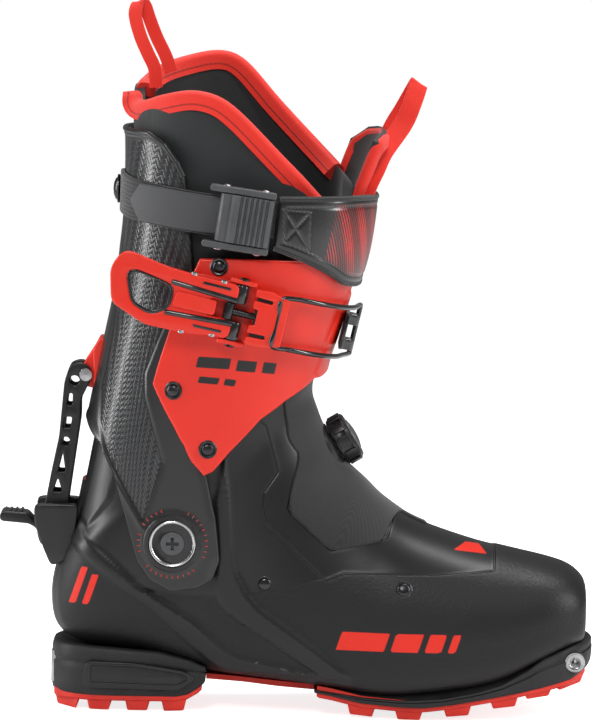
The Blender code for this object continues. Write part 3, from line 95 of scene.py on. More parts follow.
# ------------------------------------------------------------------ curves and flat shapes
def catmull(rows: Array | list, spots: Array) -> Array:
    """Smooth curve through the rows of a table, read at row numbers.

    Catmull-Rom: each span is the cubic through its two rows with the slope of the rows around them.

    Args:
        rows: table of points, one per row.
        spots: row numbers, fractions allowed.

    Returns:
        One point per spot.
    """
    table = np.asarray(rows, dtype=float)
    seat = np.clip(spots.astype(int), 0, len(table) - 2)
    part = (spots - seat)[:, None]
    before, after = table[np.maximum(seat - 1, 0)], table[np.minimum(seat + 2, len(table) - 1)]
    here, there = table[seat], table[seat + 1]
    return 0.5 * (2 * here + (there - before) * part
                  + (2 * before - 5 * here + 4 * there - after) * part ** 2
                  + (3 * here - before - 3 * there + after) * part ** 3)


def smooth_line(rows: Array | list, count: int) -> Array:
    """Catmull-Rom line through points with a number of points evenly spaced in the row number."""
    return catmull(rows, np.linspace(0.0, len(rows) - 1.0, count))


def spaced(line: Array | list, count: int) -> Array:
    """Points evenly spaced along a polyline.

    Args:
        line: corners of the polyline.
        count: number of points wanted.

    Returns:
        Array of count points.
    """
    line = np.asarray(line, dtype=float)
    length = np.concatenate([[0.0], np.cumsum(np.linalg.norm(np.diff(line, axis=0), axis=1))])
    spots = np.linspace(0.0, length[-1], count)
    return np.stack([np.interp(spots, length, line[:, k]) for k in range(line.shape[1])], axis=1)


def at_shares(line: Array | list, shares: Array) -> Array:
    """Points of a polyline at shares of its length."""
    line = np.asarray(line, dtype=float)
    length = np.concatenate([[0.0], np.cumsum(np.linalg.norm(np.diff(line, axis=0), axis=1))])
    return np.stack([np.interp(shares * length[-1], length, line[:, k]) for k in range(line.shape[1])],
                    axis=1)


def even_rings(points: Array, columns: int) -> Array:
    """Re-space every row of a grid evenly along its own length, all rows at once."""
    step = np.linalg.norm(np.diff(points, axis=1), axis=2)
    length = np.concatenate([np.zeros((len(points), 1)), np.cumsum(step, axis=1)], axis=1)
    row = np.arange(len(points))[:, None]
    known = (length / length[:, -1:] * 0.999999 + row).ravel()
    wanted = (np.linspace(0.0, 1.0, columns)[None] * 0.999999 + row).ravel()
    spaced_rows = [np.interp(wanted, known, points[..., k].ravel()) for k in range(3)]
    return np.stack(spaced_rows, axis=1).reshape(len(points), columns, 3)


def rounded(outline: Array | list, radius: float, steps: int = 5, closed: bool = True) -> Array:
    """Outline with its corners rounded.

    Each corner becomes a quadratic curve that starts and ends the radius away along its two edges, or
    0.45 of an edge where that is shorter.

    Args:
        outline: corner points.
        radius: cut length along each edge.
        steps: points per corner.
        closed: whether the last point joins the first.

    Returns:
        Array of points.
    """
    corner = np.asarray(outline, dtype=float)
    back, ahead = np.roll(corner, 1, axis=0) - corner, np.roll(corner, -1, axis=0) - corner
    back_length = np.linalg.norm(back, axis=1, keepdims=True) + 1e-9
    ahead_length = np.linalg.norm(ahead, axis=1, keepdims=True) + 1e-9
    start = corner + back / back_length * np.minimum(radius, 0.45 * back_length)
    end = corner + ahead / ahead_length * np.minimum(radius, 0.45 * ahead_length)
    t = np.linspace(0.0, 1.0, steps)[None, :, None]
    curve = (1 - t) ** 2 * start[:, None] + 2 * t * (1 - t) * corner[:, None] + t ** 2 * end[:, None]
    if closed:
        return curve.reshape(-1, 2)
    return np.concatenate([corner[:1], curve[1:-1].reshape(-1, 2), corner[-1:]])


def circle(centre: tuple[float, float], radius: float, count: int = 32) -> Array:
    """Points of a circle in a plane."""
    turn = np.linspace(0.0, 2 * math.pi, count, endpoint=False)
    return np.stack([centre[0] + radius * np.cos(turn), centre[1] + radius * np.sin(turn)], axis=1)


def line_distance(places: Array, line: Array | list) -> Array:
    """Shortest distance from each place (n, 2) to a polyline.

    The least over its edges of the distance to the edge.
    """
    line = np.asarray(line, dtype=float)
    start, edge = line[:-1], np.diff(line, axis=0)
    away = places[:, None, :] - start[None]
    part = np.clip((away * edge).sum(axis=2) / ((edge ** 2).sum(axis=1) + 1e-9), 0.0, 1.0)
    return np.linalg.norm(away - part[..., None] * edge, axis=2).min(axis=1)


def inside(places: Array, polygon: Array | list) -> Array:
    """Whether each place lies in a polygon: an odd number of its edges lies to the right of the place."""
    polygon = np.asarray(polygon, dtype=float)
    first, second = polygon, np.roll(polygon, -1, axis=0)
    x, z = places[:, 0:1], places[:, 1:2]
    spans = (first[:, 1] > z) != (second[:, 1] > z)
    rise = np.where(np.abs(second[:, 1] - first[:, 1]) < 1e-9, 1e-9, second[:, 1] - first[:, 1])
    cross = first[:, 0] + (z - first[:, 1]) / rise * (second[:, 0] - first[:, 0])
    return ((spans & (x < cross)).sum(axis=1) % 2).astype(bool)


def depth_in(places: Array, polygon: Array | list) -> Array:
    """Signed distance to a polygon's edge, positive inside."""
    polygon = np.asarray(polygon, dtype=float)
    away = line_distance(places, np.concatenate([polygon, polygon[:1]]))
    return np.where(inside(places, polygon), away, -away)


def smoothed(values: Array, reach: int, mode: str = "edge") -> Array:
    """Running mean over 2 * reach + 1 neighbours along the first axis."""
    size = 2 * reach + 1
    columns = values.reshape(len(values), -1).T
    soft = [np.convolve(np.pad(column, reach, mode=mode), np.ones(size) / size, mode="valid")
            for column in columns]
    return np.stack(soft, axis=1).reshape(values.shape)


def level_outward(points: Array) -> Array:
    """Level direction from the leg's middle line to each point."""
    return (points - np.array([LEG_MIDDLE, 0.0, 0.0])) * np.array([1.0, 1.0, 0.0])


def ease(value: Array, width: float) -> Array:
    """Smooth step from 0 to 1 as a signed distance crosses zero over a width."""
    part = np.clip(value / width + 0.5, 0.0, 1.0)
    return part * part * (3 - 2 * part)


# ------------------------------------------------------------------ shapes
@dataclass
class Shape:
    """Mesh data before it becomes an object.

    Attributes:
        points: vertex places in design millimetres.
        faces: vertex numbers of each face.
        uv: place of each vertex on the cloth or sheet, in metres, or None.
        fields: named values per vertex that the finish reads.
    """
    points: Array
    faces: list
    uv: Array | None = None
    fields: dict[str, Array] = field(default_factory=dict)

    def moved(self, matrix: Matrix) -> "Shape":
        """The shape with a 4x4 matrix applied to its points."""
        turn = np.array(matrix)
        return Shape(self.points @ turn[:3, :3].T + turn[:3, 3], self.faces, self.uv, self.fields)


def joined(*shapes: Shape) -> Shape:
    """Several shapes as one; UVs are kept where every shape has them."""
    points, faces, start = [], [], 0
    for shape in shapes:
        points.append(shape.points)
        faces += [[corner + start for corner in face] for face in shape.faces]
        start += len(shape.points)
    uv = np.concatenate([s.uv for s in shapes]) if all(s.uv is not None for s in shapes) else None
    return Shape(np.concatenate(points), faces, uv)


def grid_faces(rows: int, columns: int, wrap_rows: bool = False, wrap_columns: bool = False,
               start: int = 0) -> list:
    """Quads of a grid of points: each joins a point, the next in its row, and the two below."""
    row = np.arange(rows if wrap_rows else rows - 1)[:, None]
    column = np.arange(columns if wrap_columns else columns - 1)[None, :]
    below, right = (row + 1) % rows, (column + 1) % columns
    corners = [row * columns + column, row * columns + right, below * columns + right,
               below * columns + column]
    return (np.stack(corners, axis=-1).reshape(-1, 4) + start).tolist()


def grid_normals(points: Array, wrap_columns: bool = False) -> Array:
    """Unit normals of a grid: the cross product of its slopes along rows and columns."""
    down = np.gradient(points, axis=0)
    across = (np.roll(points, -1, axis=1) - np.roll(points, 1,
                                                    axis=1)) if wrap_columns else np.gradient(points, axis=1)
    normal = np.cross(down, across)
    return normal / (np.linalg.norm(normal, axis=2, keepdims=True) + 1e-12)


def tube(points: Array, cap_start: bool = True, cap_end: bool = True, wrap_rows: bool = False) -> Shape:
    """Closed surface over rings of points (rings, around, 3), with its ends filled."""
    rings, around = points.shape[:2]
    faces = grid_faces(rings, around, wrap_rows, True)
    if cap_start and not wrap_rows:
        faces.append(list(range(around))[::-1])
    if cap_end and not wrap_rows:
        faces.append(list(range((rings - 1) * around, rings * around)))
    along = np.concatenate([[0.0], np.cumsum(np.linalg.norm(np.diff(points.mean(axis=1), axis=0), axis=1))])
    step = np.linalg.norm(np.diff(points, axis=1), axis=2).mean(axis=0)
    girth = np.concatenate([[0.0], np.cumsum(step)])
    uv = np.stack(np.broadcast_arrays(along[:, None], girth[None, :]), axis=-1).reshape(-1, 2) * MM
    return Shape(points.reshape(-1, 3), faces, uv)


def carried(section: Array, path: Array, up: Array, closed: bool = False) -> Shape:
    """Section carried along a path.

    Each ring is the path point plus the section's first number along the side direction and its second
    along the up direction; side is the cross product of the path's slope and up.

    Args:
        section: closed outline (around, 2), or (rings, around, 2) where it changes.
        path: centre points.
        up: up direction per point, or one for all.
        closed: whether the path closes on itself.

    Returns:
        The closed shape.
    """
    path = np.asarray(path, dtype=float)
    slope = (np.roll(path, -1, axis=0) - np.roll(path, 1, axis=0)) if closed else np.gradient(path, axis=0)
    slope /= np.linalg.norm(slope, axis=1, keepdims=True)
    up = np.broadcast_to(np.asarray(up, dtype=float), path.shape)
    up = up - (up * slope).sum(axis=1, keepdims=True) * slope
    up = up / np.linalg.norm(up, axis=1, keepdims=True)
    side = np.cross(slope, up)
    section = np.broadcast_to(section, (len(path), *section.shape[-2:]))
    rings = path[:, None] + side[:, None] * section[..., 0:1] + up[:, None] * section[..., 1:2]
    return tube(rings, wrap_rows=closed)


def turned(profile: Array | list, start: Array | tuple, axis: Array | tuple, segments: int = 56) -> Shape:
    """Solid of revolution: (radius, distance) points turned about an axis through the start point."""
    profile = np.asarray(profile, dtype=float)
    basis = np.array(Vector(axis).normalized().to_track_quat("Z", "Y").to_matrix())
    turn = np.linspace(0.0, 2 * math.pi, segments, endpoint=False)
    local = np.stack([profile[:, 0:1] * np.cos(turn), profile[:, 0:1] * np.sin(turn),
                      np.broadcast_to(profile[:, 1:2], (len(profile), segments))], axis=-1)
    rings = local @ basis.T + np.asarray(start, dtype=float)
    hollow = min(profile[0, 0], profile[-1, 0]) > 0.01
    faces = grid_faces(len(profile), segments, hollow, True)
    return Shape(rings.reshape(-1, 3), faces)


def slab(points: Array, thickness: float, outward: Array | tuple, relief: Array | None = None,
         fields: dict[str, Array] | None = None) -> Shape:
    """Closed sheet: a grid of outer points, the same grid a wall further in, and a strip round the edge.

    Args:
        points: outer face (rows, columns, 3).
        thickness: wall.
        outward: a direction, or a point grid of directions, that the outer face looks along.
        relief: height added along the normal of the outer face only.
        fields: values per grid point for the finish.

    Returns:
        The closed shape, with UVs by length along the grid in metres.
    """
    rows, columns = points.shape[:2]
    normal = grid_normals(points)
    if (normal * np.asarray(outward)).sum() < 0.0:
        normal = -normal
    outer = points if relief is None else points + normal * relief[..., None]
    both = np.concatenate([outer.reshape(-1, 3), (points - normal * thickness).reshape(-1, 3)])
    ring = np.concatenate([np.arange(columns), np.arange(2, rows) * columns - 1,
                           np.arange(rows * columns - 1, (rows - 1) * columns - 1, -1),
                           np.arange(rows - 2, 0, -1) * columns])
    following = np.roll(ring, -1)
    under = rows * columns
    strip = np.stack([ring, following, following + under, ring + under], axis=1).tolist()
    inner = [face[::-1] for face in grid_faces(rows, columns, start=under)]
    across = np.cumsum(np.linalg.norm(np.diff(points, axis=1, prepend=points[:, :1]), axis=2), axis=1)
    down = np.cumsum(np.linalg.norm(np.diff(points, axis=0, prepend=points[:1]), axis=2), axis=0)
    uv = np.stack([across, down], axis=-1).reshape(-1, 2) * MM
    doubled = {name: np.tile(np.asarray(value).ravel(), 2) for name, value in (fields or {}).items()}
    return Shape(both, grid_faces(rows, columns) + inner + strip, np.concatenate([uv, uv]), doubled)


def edge_shares(count: int, length: float, edge: float) -> Array:
    """Shares 0..1 with extra points within the edge width of both ends, for a rounded edge."""
    lead = np.array([0.0, 0.06, 0.2, 0.42, 0.7, 1.0]) * edge / length
    return np.concatenate([lead, np.linspace(lead[-1], 1 - lead[-1], count)[1:-1], (1 - lead)[::-1]])


def edge_distance(points: Array) -> Array:
    """Distance of each grid point to the nearest of the grid's four edges, along rows and columns."""
    across = np.cumsum(np.linalg.norm(np.diff(points, axis=1, prepend=points[:, :1]), axis=2), axis=1)
    down = np.cumsum(np.linalg.norm(np.diff(points, axis=0, prepend=points[:1]), axis=2), axis=0)
    return np.minimum.reduce([across, across[:, -1:] - across, down, down[-1:] - down])


def edge_drop(points: Array, radius: float) -> Array:
    """How far a rounded edge falls: radius less a quarter circle's height, by distance to the grid's edge."""
    gap = radius - np.minimum(edge_distance(points), radius)
    return -(radius - np.sqrt(np.maximum(radius ** 2 - gap ** 2, 0.0)))


class Plane(Enum):
    """Plane in which a flat plate is drawn; it is extruded along the third axis."""
    SIDE = "XZ"
    PLAN = "XY"


def plate(outline: Array | list, low: float, high: float, plane: Plane = Plane.SIDE, bevel: float = 0.6,
          holes: list | None = None, radius: float = 1.0) -> Shape:
    """Flat plate with rounded corners, bevelled rims and holes, filled by a 2-D curve.

    Args:
        outline: corner points in the plane.
        low: lower limit along the third axis.
        high: upper limit along the third axis.
        plane: drawing plane.
        bevel: rounding of the rims.
        holes: outlines of holes, used as they are.
        radius: corner rounding of the outline.

    Returns:
        The closed shape.
    """
    curve = bpy.data.curves.new("plate", "CURVE")
    curve.dimensions, curve.fill_mode = "2D", "BOTH"
    curve.extrude = max((high - low) / 2.0 - bevel, 0.01)
    curve.bevel_depth, curve.bevel_resolution, curve.offset = bevel, 2, -bevel
    for loop in [rounded(outline, radius) if radius > 0 else np.asarray(outline), *(holes or [])]:
        line = curve.splines.new("POLY")
        line.points.add(len(loop) - 1)
        flat = np.concatenate([np.asarray(loop, dtype=float), np.zeros((len(loop), 1)),
                               np.ones((len(loop), 1))], axis=1)
        line.points.foreach_set("co", flat.ravel())
        line.use_cyclic_u = True
    drawn = bpy.data.objects.new("plate", curve)
    mesh = bpy.data.meshes.new_from_object(drawn)
    bpy.data.objects.remove(drawn)
    bpy.data.curves.remove(curve)
    co = np.zeros(len(mesh.vertices) * 3)
    mesh.vertices.foreach_get("co", co)
    faces = [list(p.vertices) for p in mesh.polygons]
    bpy.data.meshes.remove(mesh)
    co = co.reshape(-1, 3)
    middle = (low + high) / 2.0
    if plane is Plane.SIDE:
        points = np.stack([co[:, 0], co[:, 2] + middle, co[:, 1]], axis=1)
    else:
        points = np.stack([co[:, 0], co[:, 1], co[:, 2] + middle], axis=1)
    return Shape(points, faces)


def cylinder(start: Array | tuple, end: Array | tuple, radius: float, bevel: float = 0.3,
             segments: int = 32) -> Shape:
    """Round bar between two points with bevelled ends."""
    start, end = np.asarray(start, dtype=float), np.asarray(end, dtype=float)
    length = float(np.linalg.norm(end - start))
    profile = [(0, 0), (radius - bevel, 0), (radius - bevel * 0.3, bevel * 0.3), (radius, bevel),
               (radius, length - bevel), (radius - bevel * 0.3, length - bevel * 0.3),
               (radius - bevel, length), (0, length)]
    return turned(profile, start, end - start, segments)


def wire(path: Array, radius: float, closed: bool = False, segments: int = 14) -> Shape:
    """Round wire along a path, its section turned as little as possible."""
    up = np.tile((0.0, 0.0, 1.0), (len(path), 1))
    slope = np.gradient(path, axis=0)
    steep = np.abs(slope[:, 2]) > 0.85 * np.linalg.norm(slope, axis=1)
    up[steep] = (1.0, 0.0, 0.0)
    return carried(circle((0, 0), radius, segments), path, up, closed)


def dome_head(place: Array, normal: Array, radius: float, height: float, depth: float = 1.0) -> Shape:
    """Rivet head: a flat rim, a shoulder and a shallow dome, sunk a little into its seat."""
    turn = np.linspace(0.0, math.pi / 2, 9)
    dome = np.stack([radius * 0.92 * np.cos(turn), height * (0.35 + 0.65 * np.sin(turn))], axis=1)
    dome[-1, 0] = 0.0
    profile = np.concatenate([[(0, -depth), (radius, -depth), (radius, height * 0.22)], dome])
    return turned(profile, place, normal, 40)


class Workshop:
    """Turns shapes into finished, named pieces that ride on their bodies."""

    count: int = 0

    def make(self, name: str, shape: Shape, finish: "Finish", body: str,
             replaces: tuple[str, ...] = (), sharp: float = 38.0) -> bpy.types.Object:
        """Build one piece.

        Args:
            name: piece name.
            shape: its mesh data.
            finish: its material.
            body: body that it rides on.
            replaces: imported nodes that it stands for.
            sharp: angle above which an edge stays sharp.

        Returns:
            The object, at the origin, with its place in its mesh.
        """
        mesh = bpy.data.meshes.new(name)
        mesh.from_pydata(((shape.points + SHIFT) * MM).tolist(), [], shape.faces)
        if shape.uv is not None:
            corner = np.zeros(len(mesh.loops), dtype=np.int32)
            mesh.loops.foreach_get("vertex_index", corner)
            mesh.uv_layers.new(name="cloth").data.foreach_set("uv",
                                                              shape.uv[corner].astype(np.float32).ravel())
        for field_name, values in shape.fields.items():
            made = mesh.attributes.new(field_name, "FLOAT", "POINT")
            made.data.foreach_set("value", np.asarray(values, dtype=np.float32))
        work = bmesh.new()
        work.from_mesh(mesh)
        bmesh.ops.remove_doubles(work, verts=work.verts, dist=1e-6)
        bmesh.ops.dissolve_degenerate(work, edges=work.edges, dist=1e-7)
        bmesh.ops.recalc_face_normals(work, faces=work.faces)
        open_edges = sum(1 for edge in work.edges if not edge.is_manifold)
        work.to_mesh(mesh)
        work.free()
        mesh.shade_smooth()
        mesh.set_sharp_from_angle(angle=math.radians(sharp))
        piece = bpy.data.objects.new(name, mesh)
        bpy.context.scene.collection.objects.link(piece)
        mesh.materials.append(finish.material())
        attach(piece, body)
        if replaces:
            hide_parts(*replaces)
        self.count += 1
        LOG.info("%s: %d faces, %d open edges, rides on %s", name, len(mesh.polygons), open_edges, body)
        return piece

    def dress(self, node: str, finish: "Finish") -> None:
        """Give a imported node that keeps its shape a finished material."""
        part = frame["nodes"][node]
        for place in part.material_slots:
            place.material = finish.material()
        LOG.info("%s: dressed", node)


SHOP = Workshop()


def drawn(*points: tuple) -> list:
    """Dataclass field that holds a drawn line or outline."""
    return field(default_factory=lambda: list(points))


# ------------------------------------------------------------------ finishes
class Nodes:
    """Builds one node material; helper methods add a node, link it and hand back its output."""

    def __init__(self, name: str) -> None:
        self.made = bpy.data.materials.new(name)
        self.made.use_nodes = True
        self.tree = self.made.node_tree
        self.shader = self.tree.nodes["Principled BSDF"]

    def node(self, kind: str, values: dict | None = None, **settings: object) -> bpy.types.Node:
        """A node with its settings and its unlinked input values or links."""
        made = self.tree.nodes.new(f"ShaderNode{kind}")
        for key, value in settings.items():
            setattr(made, key, value)
        for key, value in (values or {}).items():
            self.feed(made.inputs[key], value)
        return made

    def feed(self, place: bpy.types.NodeSocket, value: object) -> None:
        """Link a socket, or set it where the value is a constant."""
        if isinstance(value, bpy.types.NodeSocket):
            self.tree.links.new(value, place)
        else:
            place.default_value = value

    def place(self, stretch: tuple[float, float, float] = (1, 1, 1),
              on_cloth: bool = False) -> bpy.types.NodeSocket:
        """Object coordinates, or the piece's own UVs, scaled per axis."""
        source = self.node("TexCoord").outputs["UV" if on_cloth else "Object"]
        return self.node("Mapping", {"Vector": source, "Scale": stretch}).outputs[0]

    def noise(self, where: bpy.types.NodeSocket, scale: float, detail: float = 4.0,
              rough: float = 0.55) -> bpy.types.NodeSocket:
        """Fractal noise, about 0.5 on average."""
        return self.node("TexNoise", {"Vector": where, "Scale": scale, "Detail": detail,
                                      "Roughness": rough}).outputs["Fac"]

    def cells(self, where: bpy.types.NodeSocket, scale: float, feature: str = "F1",
              random: float = 1.0) -> bpy.types.NodeSocket:
        """Distance within scattered cells."""
        return self.node("TexVoronoi", {"Vector": where, "Scale": scale, "Randomness": random},
                         feature=feature).outputs["Distance"]

    def sum(self, operation: str, *values: object, clamp: bool = False) -> bpy.types.NodeSocket:
        """One Math node."""
        made = self.node("Math", operation=operation, use_clamp=clamp)
        for place, value in zip(made.inputs, values):
            self.feed(place, value)
        return made.outputs[0]

    def span(self, value: object, low: float, high: float, to_low: float = 0.0,
             to_high: float = 1.0) -> bpy.types.NodeSocket:
        """Value mapped from one range to another and clamped."""
        return self.node("MapRange", {"Value": value, "From Min": low, "From Max": high, "To Min": to_low,
                                      "To Max": to_high}).outputs[0]

    def attribute(self, name: str) -> bpy.types.NodeSocket:
        """Named value per point of the mesh."""
        return self.node("Attribute", attribute_name=name).outputs["Fac"]

    def mask(self, name: str, soft: float = 0.25) -> bpy.types.NodeSocket:
        """1 where a signed distance in millimetres is positive, with a soft edge."""
        return self.span(self.attribute(name), -soft, soft)

    def blend(self, first: object, second: object, share: object) -> bpy.types.NodeSocket:
        """Mix of two colours."""
        made = self.node("Mix", data_type="RGBA")
        self.feed(made.inputs["Factor"], share)
        self.feed(made.inputs[6], first)
        self.feed(made.inputs[7], second)
        return made.outputs[2]

    def parts(self, where: bpy.types.NodeSocket) -> tuple:
        """X, Y and Z of a vector."""
        return tuple(self.node("SeparateXYZ", {"Vector": where}).outputs)

    def bump(self, height: object, depth_mm: float, strength: float = 1.0,
             under: bpy.types.NodeSocket | None = None) -> bpy.types.NodeSocket:
        """Bumped normal from a height of the given depth."""
        made = self.node("Bump", {"Height": height, "Distance": depth_mm * MM, "Strength": strength})
        if under is not None:
            self.feed(made.inputs["Normal"], under)
        return made.outputs[0]

    def wear(self, low: float = 0.52, high: float = 0.62) -> bpy.types.NodeSocket:
        """Worn edges: convex places, broken up by noise."""
        point = self.node("NewGeometry").outputs["Pointiness"]
        patch = self.noise(self.place(), 160.0, 3.0)
        return self.sum("MULTIPLY", self.span(point, low, high), self.span(patch, 0.42, 0.62))

    def finish(self, **values: object) -> bpy.types.Material:
        """Feed the shader's own sockets and hand back the material; underscores stand for spaces."""
        for key, value in values.items():
            self.feed(self.shader.inputs[key.replace("_", " ")], value)
        return self.made


def rgb(red: float, green: float, blue: float) -> tuple[float, float, float, float]:
    """Opaque linear colour."""
    return red, green, blue, 1.0


BUILT: dict[str, bpy.types.Material] = {}
RED = rgb(0.76, 0.022, 0.008)
DEEP_RED = rgb(0.52, 0.014, 0.006)


@dataclass(frozen=True)
class Finish:
    """A finish that makes its material once and shares it between pieces.

    Attributes:
        name: material name.
    """
    name: str

    def material(self) -> bpy.types.Material:
        """The shared material, built at first use."""
        if self.name not in BUILT:
            BUILT[self.name] = self.build(Nodes(self.name))
        return BUILT[self.name]

    def build(self, n: Nodes) -> bpy.types.Material:
        """Build the node tree."""
        raise NotImplementedError


@dataclass(frozen=True)
class ShellPlastic(Finish):
    """Moulded shell: satin panels, leather-grained panels, moulded seams with painted shade, and small red
    marks.
    """

    def build(self, n: Nodes) -> bpy.types.Material:
        """Cells and noise make the grain where the grain field is positive; the rest is fine satin."""
        where = n.place()
        grain = n.mask("grain", 0.35)
        cell = n.cells(where, 620.0, "SMOOTH_F1")
        leather = n.sum("ADD", n.span(cell, 0.0, 0.75), n.sum("MULTIPLY", n.noise(where, 900.0, 3.0), 0.7))
        satin = n.noise(where, 2600.0, 2.0)
        cloud = n.noise(where, 22.0, 3.0)
        near = [n.sum("ABSOLUTE", n.attribute(name)) for name in ("slit", "zone")]
        seam = n.span(n.sum("MINIMUM", *near), 0.2, 0.7)
        height = n.sum("MULTIPLY", leather, grain)
        first = n.bump(height, 0.16, 0.55)
        second = n.bump(satin, 0.02, 0.35, first)
        third = n.bump(seam, 0.5, 0.8, second)
        base = n.blend(rgb(0.0090, 0.0090, 0.0098), rgb(0.0135, 0.0135, 0.0148), cloud)
        base = n.blend(base, rgb(0.0050, 0.0050, 0.0054), n.sum("MULTIPLY", grain, 0.75))
        # painted shade: the colour goes near black along the seams of the slit and the fabric zone, where their
        # moulded steps throw shade
        base = n.blend(rgb(0.003, 0.003, 0.003), base, seam)
        base = n.blend(base, rgb(0.05, 0.05, 0.052), n.sum("MULTIPLY", n.wear(0.53, 0.64), 0.5))
        base = n.blend(base, RED, n.mask("mark", 0.18))
        rough = n.sum("ADD", n.span(grain, 0, 1, 0.30, 0.43), n.sum("MULTIPLY", cloud, 0.09))
        return n.finish(Base_Color=base, Roughness=rough, Normal=third, Specular_IOR_Level=0.42)


@dataclass(frozen=True)
class Plastic(Finish):
    """Moulded plastic in one colour with flow clouds, fine texture and polished edges.

    Attributes:
        colour: main colour.
        shade: second colour of the clouds.
        rough: mean roughness.
        texture: size of the moulded texture, as cells per metre.
        depth: depth of the texture in millimetres.
        edge: colour of worn edges.
        marked: whether the piece carries a mark field, in near-black.
        coat: clear gloss on top.
    """
    colour: tuple
    shade: tuple
    rough: float = 0.4
    texture: float = 1500.0
    depth: float = 0.05
    edge: tuple = (0.09, 0.09, 0.095, 1.0)
    marked: bool = False
    coat: float = 0.0

    def build(self, n: Nodes) -> bpy.types.Material:
        """Two noises for colour, a cell texture for the surface."""
        where = n.place()
        cloud = n.noise(where, 30.0, 3.0)
        fine = n.sum("ADD", n.noise(where, self.texture, 3.0),
                     n.sum("MULTIPLY", n.cells(where, self.texture * 0.6), 0.5))
        base = n.blend(self.colour, self.shade, n.span(cloud, 0.35, 0.65))
        base = n.blend(base, self.edge, n.sum("MULTIPLY", n.wear(), 0.45))
        if self.marked:
            base = n.blend(base, rgb(0.010, 0.009, 0.009), n.mask("mark", 0.2))
        rough = n.span(n.noise(where, 90.0, 4.0), 0.3, 0.7, self.rough - 0.05, self.rough + 0.06)
        return n.finish(Base_Color=base, Roughness=rough, Normal=n.bump(fine, self.depth, 0.6),
                        Coat_Weight=self.coat, Coat_Roughness=0.12)


@dataclass(frozen=True)
class CarbonAndFrame(Finish):
    """Cuff: lacquered two-by-two twill panels in a satin plastic frame, with painted sheen on the twill and
    painted shade at the panels' rims.

    Attributes:
        tow: width of one tow in metres.
    """
    tow: float = 0.0024

    def build(self, n: Nodes) -> bpy.types.Material:
        """A tow is on top where the sum of its row and column numbers, modulo four, is under two."""
        across, down, _ = n.parts(n.place((1 / self.tow, 1 / self.tow, 1), on_cloth=True))
        column, row = n.sum("FLOOR", across), n.sum("FLOOR", down)
        on_top = n.sum("LESS_THAN", n.sum("FLOORED_MODULO", n.sum("ADD", column, row), 4.0), 2.0)
        round_warp = n.sum("SINE", n.sum("MULTIPLY", n.sum("FRACT", across), math.pi))
        round_weft = n.sum("SINE", n.sum("MULTIPLY", n.sum("FRACT", down), math.pi))
        warp, weft = n.sum("MULTIPLY", round_warp, on_top), n.sum("MULTIPLY", round_weft,
                                                                  n.sum("SUBTRACT", 1.0, on_top))
        tows = n.sum("ADD", warp, weft)
        warp_hair = n.noise(n.place((5200, 260, 1), on_cloth=True), 1.0, 2.0)
        weft_hair = n.noise(n.place((260, 5200, 1), on_cloth=True), 1.0, 2.0)
        hair = n.sum("ADD", n.sum("MULTIPLY", warp_hair, on_top),
                     n.sum("MULTIPLY", weft_hair, n.sum("SUBTRACT", 1.0, on_top)))
        # painted reflection: tows on top are lighter than the tows under them and brightest along their crowns,
        # standing in for the twill's sheen
        twill = n.blend(rgb(0.006, 0.0062, 0.007), rgb(0.046, 0.047, 0.051),
                        n.sum("MULTIPLY", n.span(tows, 0.25, 1.0), n.span(on_top, 0, 1, 0.30, 1.0)))
        # painted sheen: light fibre streaks, strongest on the tows on top
        twill = n.blend(twill, rgb(0.11, 0.112, 0.12), n.sum("MULTIPLY", n.span(hair, 0.5, 0.75),
                                                             n.span(on_top, 0, 1, 0.05, 0.4)))
        where = n.place()
        cloud = n.noise(where, 24.0, 3.0)
        satin = n.blend(rgb(0.0085, 0.0085, 0.0093), rgb(0.0135, 0.0135, 0.0148), cloud)
        satin = n.blend(satin, rgb(0.07, 0.07, 0.074), n.sum("MULTIPLY", n.wear(0.53, 0.64), 0.55))
        panel = n.mask("carbon", 0.3)
        # painted shade: the colour goes near black in a thin line along the panel's edge, at the foot of the
        # raised frame
        groove = n.span(n.sum("ABSOLUTE", n.attribute("carbon")), 0.15, 0.8)
        base = n.blend(rgb(0.002, 0.002, 0.002), n.blend(satin, twill, panel), groove)
        woven = n.bump(n.sum("MULTIPLY", n.sum("ADD", tows, n.sum("MULTIPLY", hair, 0.12)), panel), 0.18, 0.6)
        rough = n.sum("ADD", n.span(panel, 0, 1, 0.33, 0.26), n.sum("MULTIPLY", n.noise(where, 140.0), 0.06))
        fine = n.bump(n.noise(where, 2400.0, 2.0), 0.015, 0.3, woven)
        return n.finish(Base_Color=base, Roughness=rough, Normal=fine, Coat_Weight=0.25, Coat_Roughness=0.18)


@dataclass(frozen=True)
class Rubber(Finish):
    """Moulded sole rubber with a fine pebble and scuffs.

    Attributes:
        colour: main colour.
        shade: second colour.
    """
    colour: tuple
    shade: tuple

    def build(self, n: Nodes) -> bpy.types.Material:
        """Pebble from cells, scuffs from stretched noise."""
        where = n.place()
        pebble = n.sum("ADD", n.cells(where, 1300.0), n.noise(where, 500.0, 4.0))
        scuff = n.span(n.noise(n.place((60, 260, 420)), 1.0, 5.0, 0.7), 0.56, 0.72)
        base = n.blend(self.colour, self.shade, n.span(n.noise(where, 45.0, 4.0), 0.35, 0.65))
        base = n.blend(base, rgb(*(min(c * 1.5 + 0.012, 1.0) for c in self.colour[:3])),
                       n.sum("MULTIPLY", scuff, 0.35))
        rough = n.span(n.noise(where, 120.0), 0.3, 0.7, 0.52, 0.7)
        return n.finish(Base_Color=base, Roughness=rough, Normal=n.bump(pebble, 0.07, 0.6))


